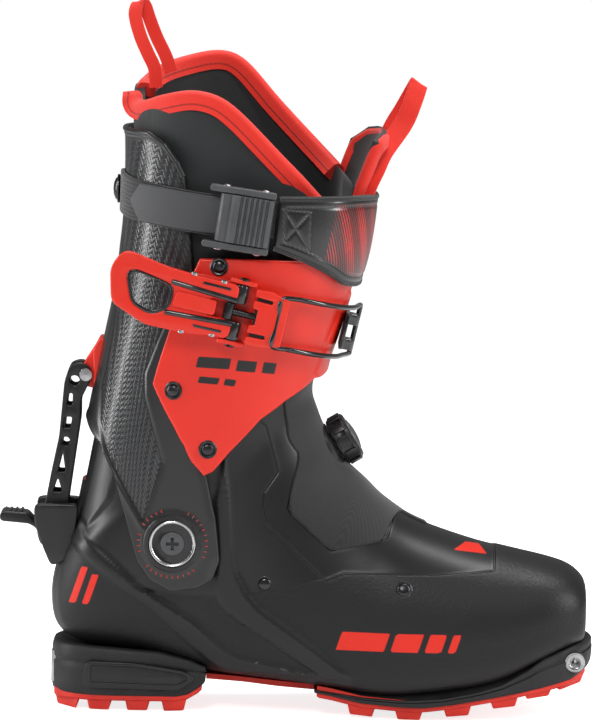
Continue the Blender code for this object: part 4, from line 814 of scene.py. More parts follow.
@dataclass(frozen=True)
class Weave(Finish):
    """Woven or knitted cloth.

    Attributes:
        colour: yarn on top.
        shade: gaps between yarns.
        yarn: yarn pitch in metres.
        ribs: pitch of ribs across the tape in metres, or 0.
        sheen: soft edge light.
        stitch: distance of a seam from each long edge in metres, or 0; width gives the tape's girth.
        width: width of the tape in metres.
        rough: roughness.
        on_cloth: whether the weave follows the piece's UVs.
    """
    colour: tuple
    shade: tuple
    yarn: float = 0.0007
    ribs: float = 0.0
    sheen: float = 0.3
    stitch: float = 0.0
    width: float = 0.0
    rough: float = 0.8
    on_cloth: bool = True

    def build(self, n: Nodes) -> bpy.types.Material:
        """Yarns are sines in a plain weave; a seam is a row of dashes along the edge."""
        k = 2 * math.pi / self.yarn
        across, down, depth = n.parts(n.place(on_cloth=self.on_cloth))
        if not self.on_cloth:
            across, down = n.sum("ADD", across, n.sum("MULTIPLY", down, 0.8)), n.sum("ADD", depth,
                                                                                     n.sum("MULTIPLY", down,
                                                                                           0.3))
        warp = n.sum("SINE", n.sum("MULTIPLY", across, k))
        weft = n.sum("SINE", n.sum("MULTIPLY", down, k))
        woven = n.span(n.sum("ADD", n.sum("MULTIPLY", warp, weft), n.sum("MULTIPLY", warp, 0.4)), -1.2, 1.2)
        where = n.place()
        fuzz, cloud = n.noise(where, 1800.0, 3.0), n.noise(where, 35.0, 3.0)
        base = n.blend(self.shade, self.colour, n.span(woven, 0.1, 0.6))
        base = n.blend(base, self.shade, n.span(cloud, 0.5, 0.8, 0.0, 0.5))
        height = n.sum("ADD", woven, n.sum("MULTIPLY", fuzz, 0.4))
        normal = n.bump(height, 0.12, 0.5)
        if self.ribs:
            rib = n.span(n.sum("SINE", n.sum("MULTIPLY", down, 2 * math.pi / self.ribs)), -1, 1)
            normal = n.bump(rib, 0.35, 0.7, normal)
            base = n.blend(base, self.shade, n.span(rib, 0.35, 0.0, 0.0, 0.6))
        if self.stitch:
            near = n.sum("MINIMUM", down, n.sum("SUBTRACT", self.width, down))
            line = n.span(n.sum("ABSOLUTE", n.sum("SUBTRACT", near, self.stitch)), 0.0003, 0.0006, 1.0, 0.0)
            dash = n.span(n.sum("FRACT", n.sum("MULTIPLY", across, 1 / 0.0032)), 0.16, 0.24)
            seam = n.sum("MULTIPLY", line, dash)
            base = n.blend(base, tuple(c * 0.35 for c in self.colour[:3]) + (1.0,),
                           n.sum("MULTIPLY", line, 0.75))
            normal = n.bump(seam, 0.4, 0.8, normal)
        return n.finish(Base_Color=base, Roughness=self.rough, Normal=normal, Sheen_Weight=self.sheen,
                        Sheen_Roughness=0.5, Specular_IOR_Level=0.3)


@dataclass(frozen=True)
class StrapFilm(Finish):
    """Glossy faced strap pad with woven rim, box stitching and a printed field of slanted stripes."""

    def build(self, n: Nodes) -> bpy.types.Material:
        """The printed field lies where the print value is positive; its stripes thin out towards the rim."""
        along, up, _ = n.parts(n.place(on_cloth=True))
        lean = n.sum("ADD", along, n.sum("MULTIPLY", up, 0.55))
        printed = n.mask("print", 0.3)
        share = n.span(n.attribute("print"), 0.0, 14.0, 0.18, 0.72)
        stripe = n.sum("LESS_THAN", n.sum("FRACT", n.sum("MULTIPLY", lean, 1 / 0.0021)), share)
        block = n.span(n.sum("SINE", n.sum("MULTIPLY", lean, 2 * math.pi / 0.017)), -0.15, 0.15)
        where = n.place()
        gloss = n.noise(where, 40.0, 3.0)
        base = n.blend(rgb(0.006, 0.006, 0.0065), rgb(0.012, 0.012, 0.013), gloss)
        red = n.sum("MULTIPLY", n.sum("MULTIPLY", printed, stripe), n.span(block, 0, 1, 0.35, 1.0))
        base = n.blend(base, rgb(0.62, 0.02, 0.012), red)
        seam = n.span(n.sum("ABSOLUTE", n.attribute("sewn")), 0.35, 0.6, 1.0, 0.0)
        dash = n.span(n.sum("FRACT", n.sum("MULTIPLY", n.sum("ADD", along, up), 1 / 0.0028)), 0.2, 0.3)
        thread = n.sum("MULTIPLY", seam, dash)
        base = n.blend(base, rgb(0.05, 0.05, 0.052), n.sum("MULTIPLY", thread, 0.8))
        normal = n.bump(n.noise(where, 1500.0, 2.0), 0.02, 0.3, n.bump(thread, 0.3, 0.8))
        return n.finish(Base_Color=base, Roughness=n.span(gloss, 0.3, 0.7, 0.24, 0.33), Normal=normal,
                        Coat_Weight=0.5, Coat_Roughness=0.15)


@dataclass(frozen=True)
class Metal(Finish):
    """Turned or drawn metal with fine lines and stains.

    Attributes:
        colour: metal colour.
        rough: mean roughness.
    """
    colour: tuple
    rough: float = 0.25

    def build(self, n: Nodes) -> bpy.types.Material:
        """Fine stretched noise for the lines, a coarse one for stains."""
        where = n.place()
        lines = n.noise(n.place((900, 300, 3600)), 1.0, 3.0)
        stain = n.noise(where, 110.0, 4.0)
        base = n.blend(self.colour, tuple(c * 0.72 for c in self.colour[:3]) + (1.0,),
                       n.span(stain, 0.45, 0.7))
        rough = n.span(stain, 0.3, 0.7, self.rough - 0.06, self.rough + 0.12)
        return n.finish(Base_Color=base, Metallic=1.0, Roughness=rough, Normal=n.bump(lines, 0.02, 0.4))


SHELL = ShellPlastic("shell_plastic")
BLACK = Plastic("black_plastic", rgb(0.0085, 0.0085, 0.0092), rgb(0.0130, 0.0130, 0.0138), 0.34)
SOFT_BLACK = Rubber("rim_rubber", rgb(0.008, 0.008, 0.0085), rgb(0.012, 0.012, 0.0128))
GREY = Plastic("grey_plastic", rgb(0.075, 0.077, 0.082), rgb(0.055, 0.057, 0.061), 0.42, 1800.0, 0.04,
               rgb(0.24, 0.24, 0.25))
CARBON = CarbonAndFrame("carbon_and_frame")
RED_PLASTIC = Plastic("red_plastic", RED, rgb(0.72, 0.022, 0.008), 0.38, 1700.0, 0.04, rgb(0.9, 0.12, 0.07))
RED_FLAP = Plastic("red_flap", RED, rgb(0.70, 0.021, 0.008), 0.36, 1500.0, 0.05, rgb(0.88, 0.10, 0.06), True)
RED_RUBBER = Rubber("red_rubber", rgb(0.74, 0.030, 0.014), rgb(0.62, 0.020, 0.010))
GAITER = Weave("gaiter_twill", rgb(0.026, 0.026, 0.028), rgb(0.008, 0.008, 0.009), 0.0011, rough=0.62)
LINER = Weave("liner_cloth", rgb(0.021, 0.023, 0.024), rgb(0.009, 0.010, 0.0105), 0.0006, sheen=0.2,
              rough=0.6, on_cloth=False)
RED_TAPE = Weave("red_tape", rgb(0.82, 0.030, 0.014), rgb(0.55, 0.014, 0.008), 0.0006, sheen=0.25, rough=0.7)
RED_BINDING = Weave("red_binding", rgb(0.82, 0.028, 0.013), rgb(0.60, 0.016, 0.008), 0.0005, sheen=0.2,
                    rough=0.6, stitch=0.0032, width=0.0278)
BLACK_WEBBING = Weave("black_webbing", rgb(0.030, 0.030, 0.032), rgb(0.010, 0.010, 0.011), 0.0012,
                      ribs=0.0022)
GREY_WEBBING = Weave("grey_webbing", rgb(0.070, 0.071, 0.075), rgb(0.042, 0.043, 0.046), 0.0007, rough=0.6)
FILM = StrapFilm("strap_film")
STEEL = Metal("bright_steel", rgb(0.55, 0.55, 0.56), 0.27)
DIM_RED = Plastic("dim_red", DEEP_RED, rgb(0.44, 0.012, 0.006), 0.5)
DARK_METAL = Metal("dark_metal", rgb(0.060, 0.060, 0.063), 0.26)
GLOSS_BLACK = Plastic("gloss_black", rgb(0.006, 0.006, 0.0065), rgb(0.009, 0.009, 0.010), 0.16, 900.0, 0.02,
                      coat=0.6)


# ------------------------------------------------------------------ the two skins that everything lies on
def rings_over(table: Array, spots: Array, columns: int) -> Array:
    """Rings of points on section planes.

    Each ring is the two halves of superellipses |u|^n + |v|^n = 1 about the line from its top point to
    its bottom point, read by polar angle and then spaced evenly.

    Args:
        table: stations, eight numbers each.
        spots: station numbers of the rings.
        columns: points per ring; the first is the top point.

    Returns:
        Points (rings, columns, 3).
    """
    smooth = catmull(table, spots)
    front, back = smooth[:, 0:2], smooth[:, 2:4]
    half, widest, front_n, back_n = (smooth[:, k][:, None] for k in range(4, 8))
    psi = np.linspace(0.0, 2 * math.pi, 721)[None]
    ahead = np.cos(psi) >= 0.0
    power = np.where(ahead, front_n, back_n)
    radius = (np.abs(np.cos(psi)) ** power + np.abs(np.sin(psi)) ** power) ** (-1.0 / power)
    reach, side = radius * np.cos(psi), -half * radius * np.sin(psi)
    share = np.where(ahead, widest + (1 - widest) * reach, widest + (1 + widest) * reach)
    middle, axis = (front + back) / 2.0, (front - back) / 2.0
    dense = np.stack([middle[:, 0:1] + axis[:, 0:1] * share, side, middle[:, 1:2] + axis[:, 1:2] * share],
                     axis=2)
    half_count = columns // 2
    first = even_rings(dense[:, :361], half_count + 1)
    second = even_rings(dense[:, 360:], half_count + 1)
    return np.concatenate([first[:, :-1], second[:, :-1]], axis=1)


@dataclass
class ShellSkin:
    """Outer form of the shell: closed rings on planes that turn from the toe over the instep to the shaft.

    Attributes:
        stations: top/front point, bottom/back point, half width, widest place, front and back squareness.
    """
    stations: list

    def table(self, inset: float = 0.0, raise_back: float = 0.0) -> Array:
        """Stations as rows of eight numbers, moved inward, the toe's flat end as much."""
        table = np.array([[*f, *b, h, w, nf, nb] for f, b, h, w, nf, nb in self.stations], dtype=float)
        front, back = table[:, 0:2], table[:, 2:4]
        along = (front - back) / np.linalg.norm(front - back, axis=1, keepdims=True)
        toe = np.zeros((len(table), 1))
        toe[:4, 0] = (1.0, 0.95, 0.6, 0.3)
        shift = np.concatenate([-inset * toe, np.zeros_like(toe)], axis=1)
        moved = front - along * inset + shift, back + along * (inset + raise_back) + shift
        table[:, 0:2], table[:, 2:4] = moved
        table[:, 4] -= inset
        return table

    def rings(self, spots: Array, columns: int, inset: float = 0.0, raise_back: float = 0.0) -> Array:
        """Rings of points at station numbers, moved inward where asked."""
        return rings_over(self.table(inset, raise_back), spots, columns)


SHELL_SKIN = ShellSkin([((157.6, 69.0), (157.6, 47.0), 22.0, 0.00, 2.6, 3.5),
                        ((156.3, 74.0), (156.3, 42.5), 31.5, -0.05, 2.6, 3.8),
                        ((149.1, 80.1), (150.0, 40.4), 38.5, -0.15, 2.5, 4.5),
                        ((137.4, 84.3), (136.0, 34.5), 44.5, -0.25, 2.4, 5.5),
                        ((115.9, 89.3), (112.0, 22.6), 49.0, -0.35, 2.3, 6.5),
                        ((94.3, 94.4), (88.0, 16.6), 51.5, -0.35, 2.2, 6.5),
                        ((63.8, 104.8), (52.0, 12.4), 51.5, -0.35, 2.2, 6.5),
                        ((46.5, 115.4), (22.0, 14.5), 48.0, -0.35, 2.2, 5.5),
                        ((34.8, 126.2), (-10.0, 17.5), 44.5, -0.30, 2.2, 4.5),
                        ((21.8, 138.2), (-48.0, 21.0), 42.0, -0.15, 2.2, 3.8),
                        ((12.0, 153.6), (-86.0, 29.5), 41.8, -0.05, 2.3, 3.2),
                        ((7.0, 165.2), (-119.0, 34.0), 42.4, 0.00, 2.5, 2.9),
                        ((4.8, 171.5), (-133.0, 43.0), 42.8, 0.00, 2.6, 2.6),
                        ((4.4, 176.0), (-136.6, 60.0), 43.0, 0.00, 2.7, 2.4),
                        ((4.6, 179.0), (-134.0, 78.0), 43.2, 0.00, 2.8, 2.3),
                        ((5.0, 181.0), (-127.0, 95.0), 43.2, 0.00, 2.8, 2.2),
                        ((5.2, 182.5), (-122.5, 114.0), 43.2, 0.00, 2.8, 2.15),
                        ((5.4, 184.0), (-116.0, 150.0), 43.2, 0.00, 2.8, 2.1)])


@dataclass
class CuffSkin:
    """Outer form of the cuff: a superellipse at each height.

    Attributes:
        rows: height, front x, back x and half width.
        squareness: exponent of the superellipse.
    """
    rows: list
    squareness: float = 2.5

    def section(self, z: Array) -> tuple[Array, Array, Array]:
        """Centre x, half depth and half width at a height."""
        dense = catmull(self.rows, np.linspace(0, len(self.rows) - 1.0, 400))
        front, back, half = (np.interp(z, dense[:, 0], dense[:, k]) for k in (1, 2, 3))
        return (front + back) / 2.0, (front - back) / 2.0, half

    def points(self, turn: Array, z: Array, offset: Array | float = 0.0) -> Array:
        """Points of the skin: turn 0 is the front, 90 the outer side, 180 the back, 270 the inner side."""
        turn, z = np.broadcast_arrays(np.asarray(turn, dtype=float), np.asarray(z, dtype=float))
        centre, depth, half = self.section(z)
        theta, power = np.radians(turn), 2.0 / self.squareness
        x = centre + (depth + offset) * np.sign(np.cos(theta)) * np.abs(np.cos(theta)) ** power
        y = -(half + offset) * np.sign(np.sin(theta)) * np.abs(np.sin(theta)) ** power
        return np.stack([x, y, z], axis=-1)

    def turn_at(self, x: Array | float, z: Array | float) -> Array:
        """Turn on the outer side at which the skin has the given x."""
        centre, depth, _ = self.section(np.asarray(z, dtype=float))
        share = np.clip((np.asarray(x) - centre) / depth, -1.0, 1.0)
        return np.degrees(np.arccos(np.sign(share) * np.abs(share) ** (self.squareness / 2.0)))

    def side_line(self, line: list) -> list:
        """Side-view points as (turn, z) of the outer side."""
        return [(float(self.turn_at(x, z)), z) for x, z in line]

    def on_side(self, flat: Array, offset: Array | float, side: int) -> Array:
        """Side-view places (..., 2) laid on the skin of one side."""
        centre, depth, half = self.section(flat[..., 1])
        share = np.clip(np.abs((flat[..., 0] - centre) / (depth + offset)), 0.0, 0.999)
        y = side * (half + offset) * (1 - share ** self.squareness) ** (1 / self.squareness)
        return np.stack([flat[..., 0], y, flat[..., 1]], axis=-1)

    def patch(self, edges: tuple, offset: Array | float, count: tuple[int, int], edge: float = 2.0,
              size: tuple[float, float] = (150.0, 120.0)) -> Array:
        """Coons patch on the skin between a bottom, a top, a left and a right line of (turn, z).

        The blend of the two pairs of edges less the blend of the corners, with extra rows near the rims.

        Args:
            edges: the four lines.
            offset: distance off the skin.
            count: columns and rows between the rims.
            edge: width of the rim with extra points.
            size: rough width and height, for the rim's share.

        Returns:
            Grid of points.
        """
        u, v = edge_shares(count[0], size[0], edge), edge_shares(count[1], size[1], edge)
        low, high = at_shares(edges[0], u)[None], at_shares(edges[1], u)[None]
        start, end = at_shares(edges[2], v)[:, None], at_shares(edges[3], v)[:, None]
        u, v = u[None, :, None], v[:, None, None]
        corners = ((1 - u) * (1 - v) * low[:, :1] + u * (1 - v) * low[:, -1:]
                   + (1 - u) * v * high[:, :1] + u * v * high[:, -1:])
        spots = (1 - v) * low + v * high + (1 - u) * start + u * end - corners
        return self.points(spots[..., 0], spots[..., 1], offset)


CUFF_SKIN = CuffSkin([(60.0, 8.0, -124.0, 48.2), (95.0, 6.0, -123.0, 48.4), (140.0, 4.0, -120.5, 49.4),
                      (186.0, 9.4, -112.5, 51.0), (208.0, 15.6, -108.0, 52.2), (229.0, 21.6, -104.0, 53.2),
                      (250.0, 27.0, -101.5, 54.2), (272.0, 30.5, -100.0, 54.8), (300.0, 34.0, -99.6, 55.2),
                      (322.0, 36.0, -100.0, 55.4)])


def mirrored(line: list) -> list:
    """(turn, z) line on the inner side."""
    return [(360.0 - turn, z) for turn, z in line]


# ------------------------------------------------------------------ lower shell
@dataclass
class LowerShell:
    """Moulded shell with its relief, rivets, instep gaiter, footbed and boot board.

    Attributes:
        wall: shell wall.
        rows: rings of the outer face.
        columns: points per ring.
        high_edge: upper edge of the diagonal raised band at the heel.
        low_edge: lower edge of that band.
        pocket: sunk panel below the band.
        groove: rear edge of the raised rib in front of the ankle.
        crest: front edge of that rib.
        split: line between the plain and the grained toe panels.
        slit: edge of the sunk panel beside the instep.
        counter: raised panel at the back of the heel.
        gaiter_zone: side outline of the instep fabric.
        notch: cut-out under the cuff that leaves it room to flex.
    """
    wall: float = 3.5
    rows: int = 290
    columns: int = 230
    high_edge: list = drawn((-135.9, 108), (-128.3, 95.5), (-117.5, 85.2), (-95, 67.9), (-82.3, 59.6),
        (-45.8, 27.8), (-39.5, 23.4))
    low_edge: list = drawn((-122.2, 106.3), (-116.7, 94.8), (-88.9, 72.2), (-73.8, 62), (-55.8, 50.8),
        (-41.8, 37.4), (-33.3, 32.3), (11.2, 23.8))
    pocket: list = drawn((-88.9, 72.1), (-76.2, 67.9), (-63.4, 65.4), (-45, 65.3), (-43.6, 62),
        (-37.9, 55.5), (15.4, 22.4), (11.2, 23.9), (-33.3, 32.4), (-41.8, 37.5), (-55.8, 50.9),
        (-73.8, 62.1))
    groove: list = drawn((-45.8, 118.1), (-44.6, 96.1), (-44.5, 69), (-42.3, 59.6), (-37.9, 55.5),
        (15.4, 22.4))
    crest: list = drawn((-42, 143.6), (-39.3, 119.8), (-37.2, 92.5), (-34.7, 78.8), (-28.7, 67.4),
        (-21.2, 59.1), (8.6, 38.7), (18.1, 31.5), (30.4, 22.9))
    split: list = drawn((-25.6, 67.7), (-10.2, 70.1), (14.1, 76.5), (24.2, 79.7), (44.5, 79.6),
        (75.5, 79.1), (106.5, 81.4), (107.5, 92.2), (107.3, 102.3))
    slit: list = drawn((-24.4, 163.3), (-19.2, 159.2), (-12.2, 133.6), (-19.9, 122.4), (-20.3, 117.2),
        (-18, 105.7), (14.2, 75.7))
    counter: list = drawn((-111, 154.6), (-125.7, 121.3), (-121, 107.6), (-115.4, 100.6), (-103.6, 116.3),
        (-98.5, 135.1))
    gaiter_zone: list = drawn((-10.3, 181.5), (-9.9, 174.9), (-6.4, 150.8), (0.2, 142.7), (-6.9, 113.9),
        (17.4, 91.8), (47.7, 98.3), (53.3, 114), (80, 160), (10, 215), (-12, 200))
    notch: list = drawn((-90, 118), (-60, 121), (-55, 138), (-37, 167), (-25, 179), (-15, 195), (-107, 195),
        (-105, 160), (-100.5, 146), (-93.5, 134))

    def relief(self, flat: Array) -> tuple[Array, dict[str, Array]]:
        """Height of the moulded relief and the finish fields at side-view places."""
        band = depth_in(flat, self.high_edge + self.low_edge[::-1])
        rib = depth_in(flat, self.groove + self.crest[::-1])
        pocket, counter = depth_in(flat, self.pocket), depth_in(flat, self.counter)
        slit = depth_in(flat, self.slit + self.split[3:] + [(150, 140), (60, 235), (-30, 200)])
        zone = depth_in(flat, self.gaiter_zone)
        height = (1.4 * ease(band, 2.0) + 1.7 * ease(rib, 2.0) - 1.0 * ease(pocket, 2.0) + 0.9
                  * ease(counter, 2.0) - 0.5 * ease(slit, 2.0) + 0.45 * ease(-zone, 1.6) + 0.5
                  * np.exp(-(line_distance(flat, self.crest[:8]) / 1.5) ** 2))
        toe_side = self.split + [(107.3, 140), (220, 140), (220, -20), (30.4, -20)] + self.crest[:3:-1]
        heel_side = self.high_edge + [(-39.5, -20), (-180, -20), (-180, 108)]
        grain = np.maximum.reduce([depth_in(flat, toe_side), depth_in(flat, heel_side), pocket])
        heel_marks = [[(-118.6, 79.0), (-114.9, 79.0), (-121.6, 58.6), (-125.3, 58.6)],
                      [(-112.6, 75.4), (-108.9, 75.4), (-114.4, 58.6), (-118.1, 58.6)]]
        toe_marks = [[(x, 38.4), (x + wide, 38.4), (x + wide + 3.2, 48.4), (x + 3.2, 48.4)]
                     for x, wide in ((21.0, 26.0), (50.5, 15.0), (69.0, 9.0), (81.6, 4.2))]
        top_mark = [[(84.0, 91.6), (103.0, 89.0), (99.0, 92.8), (91.0, 94.4)]]
        mark = np.maximum.reduce([depth_in(flat, shape) for shape in heel_marks + toe_marks + top_mark])
        return height, {"grain": grain, "slit": slit, "zone": zone, "mark": mark}

    def build_shell(self) -> None:
        """Closed shell: displaced outer rings, a rolled rim, plain inner rings, a rounded outer toe end and a
        flat inner one.
        """
        spots = np.linspace(0.0, 17.0, self.rows)
        outer = SHELL_SKIN.rings(spots, self.columns)
        normal = grid_normals(outer, True)
        centre = outer.mean(axis=1, keepdims=True)
        if (normal * (outer - centre)).sum() < 0:
            normal = -normal
        height, fields = self.relief(outer[..., [0, 2]].reshape(-1, 2))
        fields["mark"] = np.where(outer[..., 1].reshape(-1) < 0.0, fields["mark"], -5.0)
        free = ease(-98.0 - outer[..., 0], 10.0) * ease(19.0 - np.abs(outer[..., 1]), 6.0)
        skin = outer + normal * (height.reshape(self.rows, -1) * (1 - free) - 0.4 * free)[..., None]
        rim, away = outer[-1], normal[-1]
        rise = outer[-1] - outer[-4]
        rise /= np.linalg.norm(rise, axis=1, keepdims=True)
        turn = np.linspace(0.2, math.pi - 0.2, 7)[:, None, None]
        roll = rim + self.wall / 2 * ((np.cos(turn) - 1) * away + np.sin(turn) * rise)
        inner = (outer - normal * self.wall)[::-6]
        toe_share = np.array([0.25, 0.55, 0.8, 0.94])[:, None, None]
        toe = centre[0] + (skin[0] - centre[0]) * toe_share + np.array([0.9, 0, 0]) * (1 - toe_share ** 2)
        grid = np.concatenate([toe, skin, roll, inner])
        plain = {"grain": 6.0, "slit": 5.0, "zone": 5.0, "mark": -5.0}
        rest = (len(roll) + len(inner)) * self.columns
        fields = {name: np.concatenate([np.tile(value[:self.columns], len(toe)), value,
                                        np.full(rest, plain[name])]) for name, value in fields.items()}
        shape = tube(grid)
        shape.uv, shape.fields = None, fields
        shell = SHOP.make("shell_body", shape, SHELL, "lower_boot", ("lower_shell",), sharp=50.0)
        self.cut(shell, plate(self.notch, -80, 80, bevel=0.01, radius=3.0))
        self.cut(shell, plate([(-136, 124), (-100, 124), (-100, 170), (-136, 170)], -12.5, 12.5, bevel=0.01,
                              radius=2.0))

    def cut(self, piece: bpy.types.Object, tool_shape: Shape) -> None:
        """Take a shape away from a piece with a Boolean and keep the result as its mesh."""
        mesh = bpy.data.meshes.new("tool")
        mesh.from_pydata(((tool_shape.points + SHIFT) * MM).tolist(), [], tool_shape.faces)
        work = bmesh.new()
        work.from_mesh(mesh)
        bmesh.ops.remove_doubles(work, verts=work.verts, dist=1e-6)
        bmesh.ops.recalc_face_normals(work, faces=work.faces)
        work.to_mesh(mesh)
        work.free()
        tool = bpy.data.objects.new("tool", mesh)
        bpy.context.scene.collection.objects.link(tool)
        cut = piece.modifiers.new("cut", "BOOLEAN")
        cut.object, cut.solver = tool, "EXACT"
        bpy.context.view_layer.update()
        result = bpy.data.meshes.new_from_object(piece.evaluated_get(bpy.context.evaluated_depsgraph_get()))
        piece.modifiers.clear()
        old, piece.data = piece.data, result
        bpy.data.meshes.remove(old)
        bpy.data.objects.remove(tool)
        bpy.data.meshes.remove(mesh)

    def build_rivets(self) -> None:
        """Four dome rivets with a shallow seat ring."""
        dense = SHELL_SKIN.rings(np.linspace(0, 17, 300), 400)
        normal = grid_normals(dense, True)
        number = 0
        for side, columns in ((OUTER, slice(2, 198)), (INNER, slice(202, 398))):
            for x, z in ((-19.0, 73.0), (57.0, 72.0)):
                number += 1
                points, normals = dense[:, columns], normal[:, columns]
                away = (points[..., 0] - x) ** 2 + (points[..., 2] - z) ** 2
                spot = np.unravel_index(int(np.argmin(away)), away.shape)
                place, facing = points[spot], normals[spot]
                facing = facing if facing[1] * side > 0 else -facing
                head = dome_head(place, facing, 3.7, 1.7)
                seat = turned([(3.5, -0.4), (4.7, -0.4), (4.7, 0.25), (4.2, 0.5), (3.5, 0.3)], place, facing,
                              40)
                SHOP.make(f"shell_rivet_head_{number}", joined(head, seat), DARK_METAL, "lower_boot",
                          (f"shell_rivet_{number}",))

    def build_gaiter(self) -> None:
        """Fabric over the instep: each ring runs between the places where it leaves the gaiter's zone."""
        spots = np.linspace(5.75, 15.9, 150)
        rings = SHELL_SKIN.rings(spots, 480, inset=-1.3)
        half = rings[:, :240]
        flags = inside(half[..., [0, 2]].reshape(-1, 2), self.gaiter_zone).reshape(half.shape[:2])
        flags[:, :4] = True
        last = np.where(flags.all(axis=1), 200, np.argmin(flags, axis=1)).astype(float)
        last = smoothed(last, 3)
        share = np.linspace(-1.0, 1.0, 121)[None]
        column = share * last[:, None] + 480
        ring = np.concatenate([rings, rings, rings[:, :2]], axis=1)
        low = np.floor(column).astype(int)
        part = (column - low)[..., None]
        row = np.arange(len(spots))[:, None]
        points = ring[row, low] * (1 - part) + ring[row, low + 1] * part
        shape = slab(points, 1.6, (1.0, 0.0, 1.0), edge_drop(points, 1.0))
        SHOP.make("instep_fabric", shape, GAITER, "lower_boot", ("instep_gaiter",))

    def build_inside(self) -> None:
        """Cloth footbed over the boot board."""
        spots = np.linspace(8 / 21 * 17 + 0.2, 14 / 21 * 17, 60)
        ring = SHELL_SKIN.rings(spots, 240, inset=13.4, raise_back=6.0)
        floor = ring[:, 98:143]
        SHOP.make("footbed_cloth", slab(floor, 2.4, (0, 0, 1), edge_drop(floor, 1.0)), LINER, "lower_boot",
                  ("footbed",))
        SHOP.dress("boot_board", GREY)


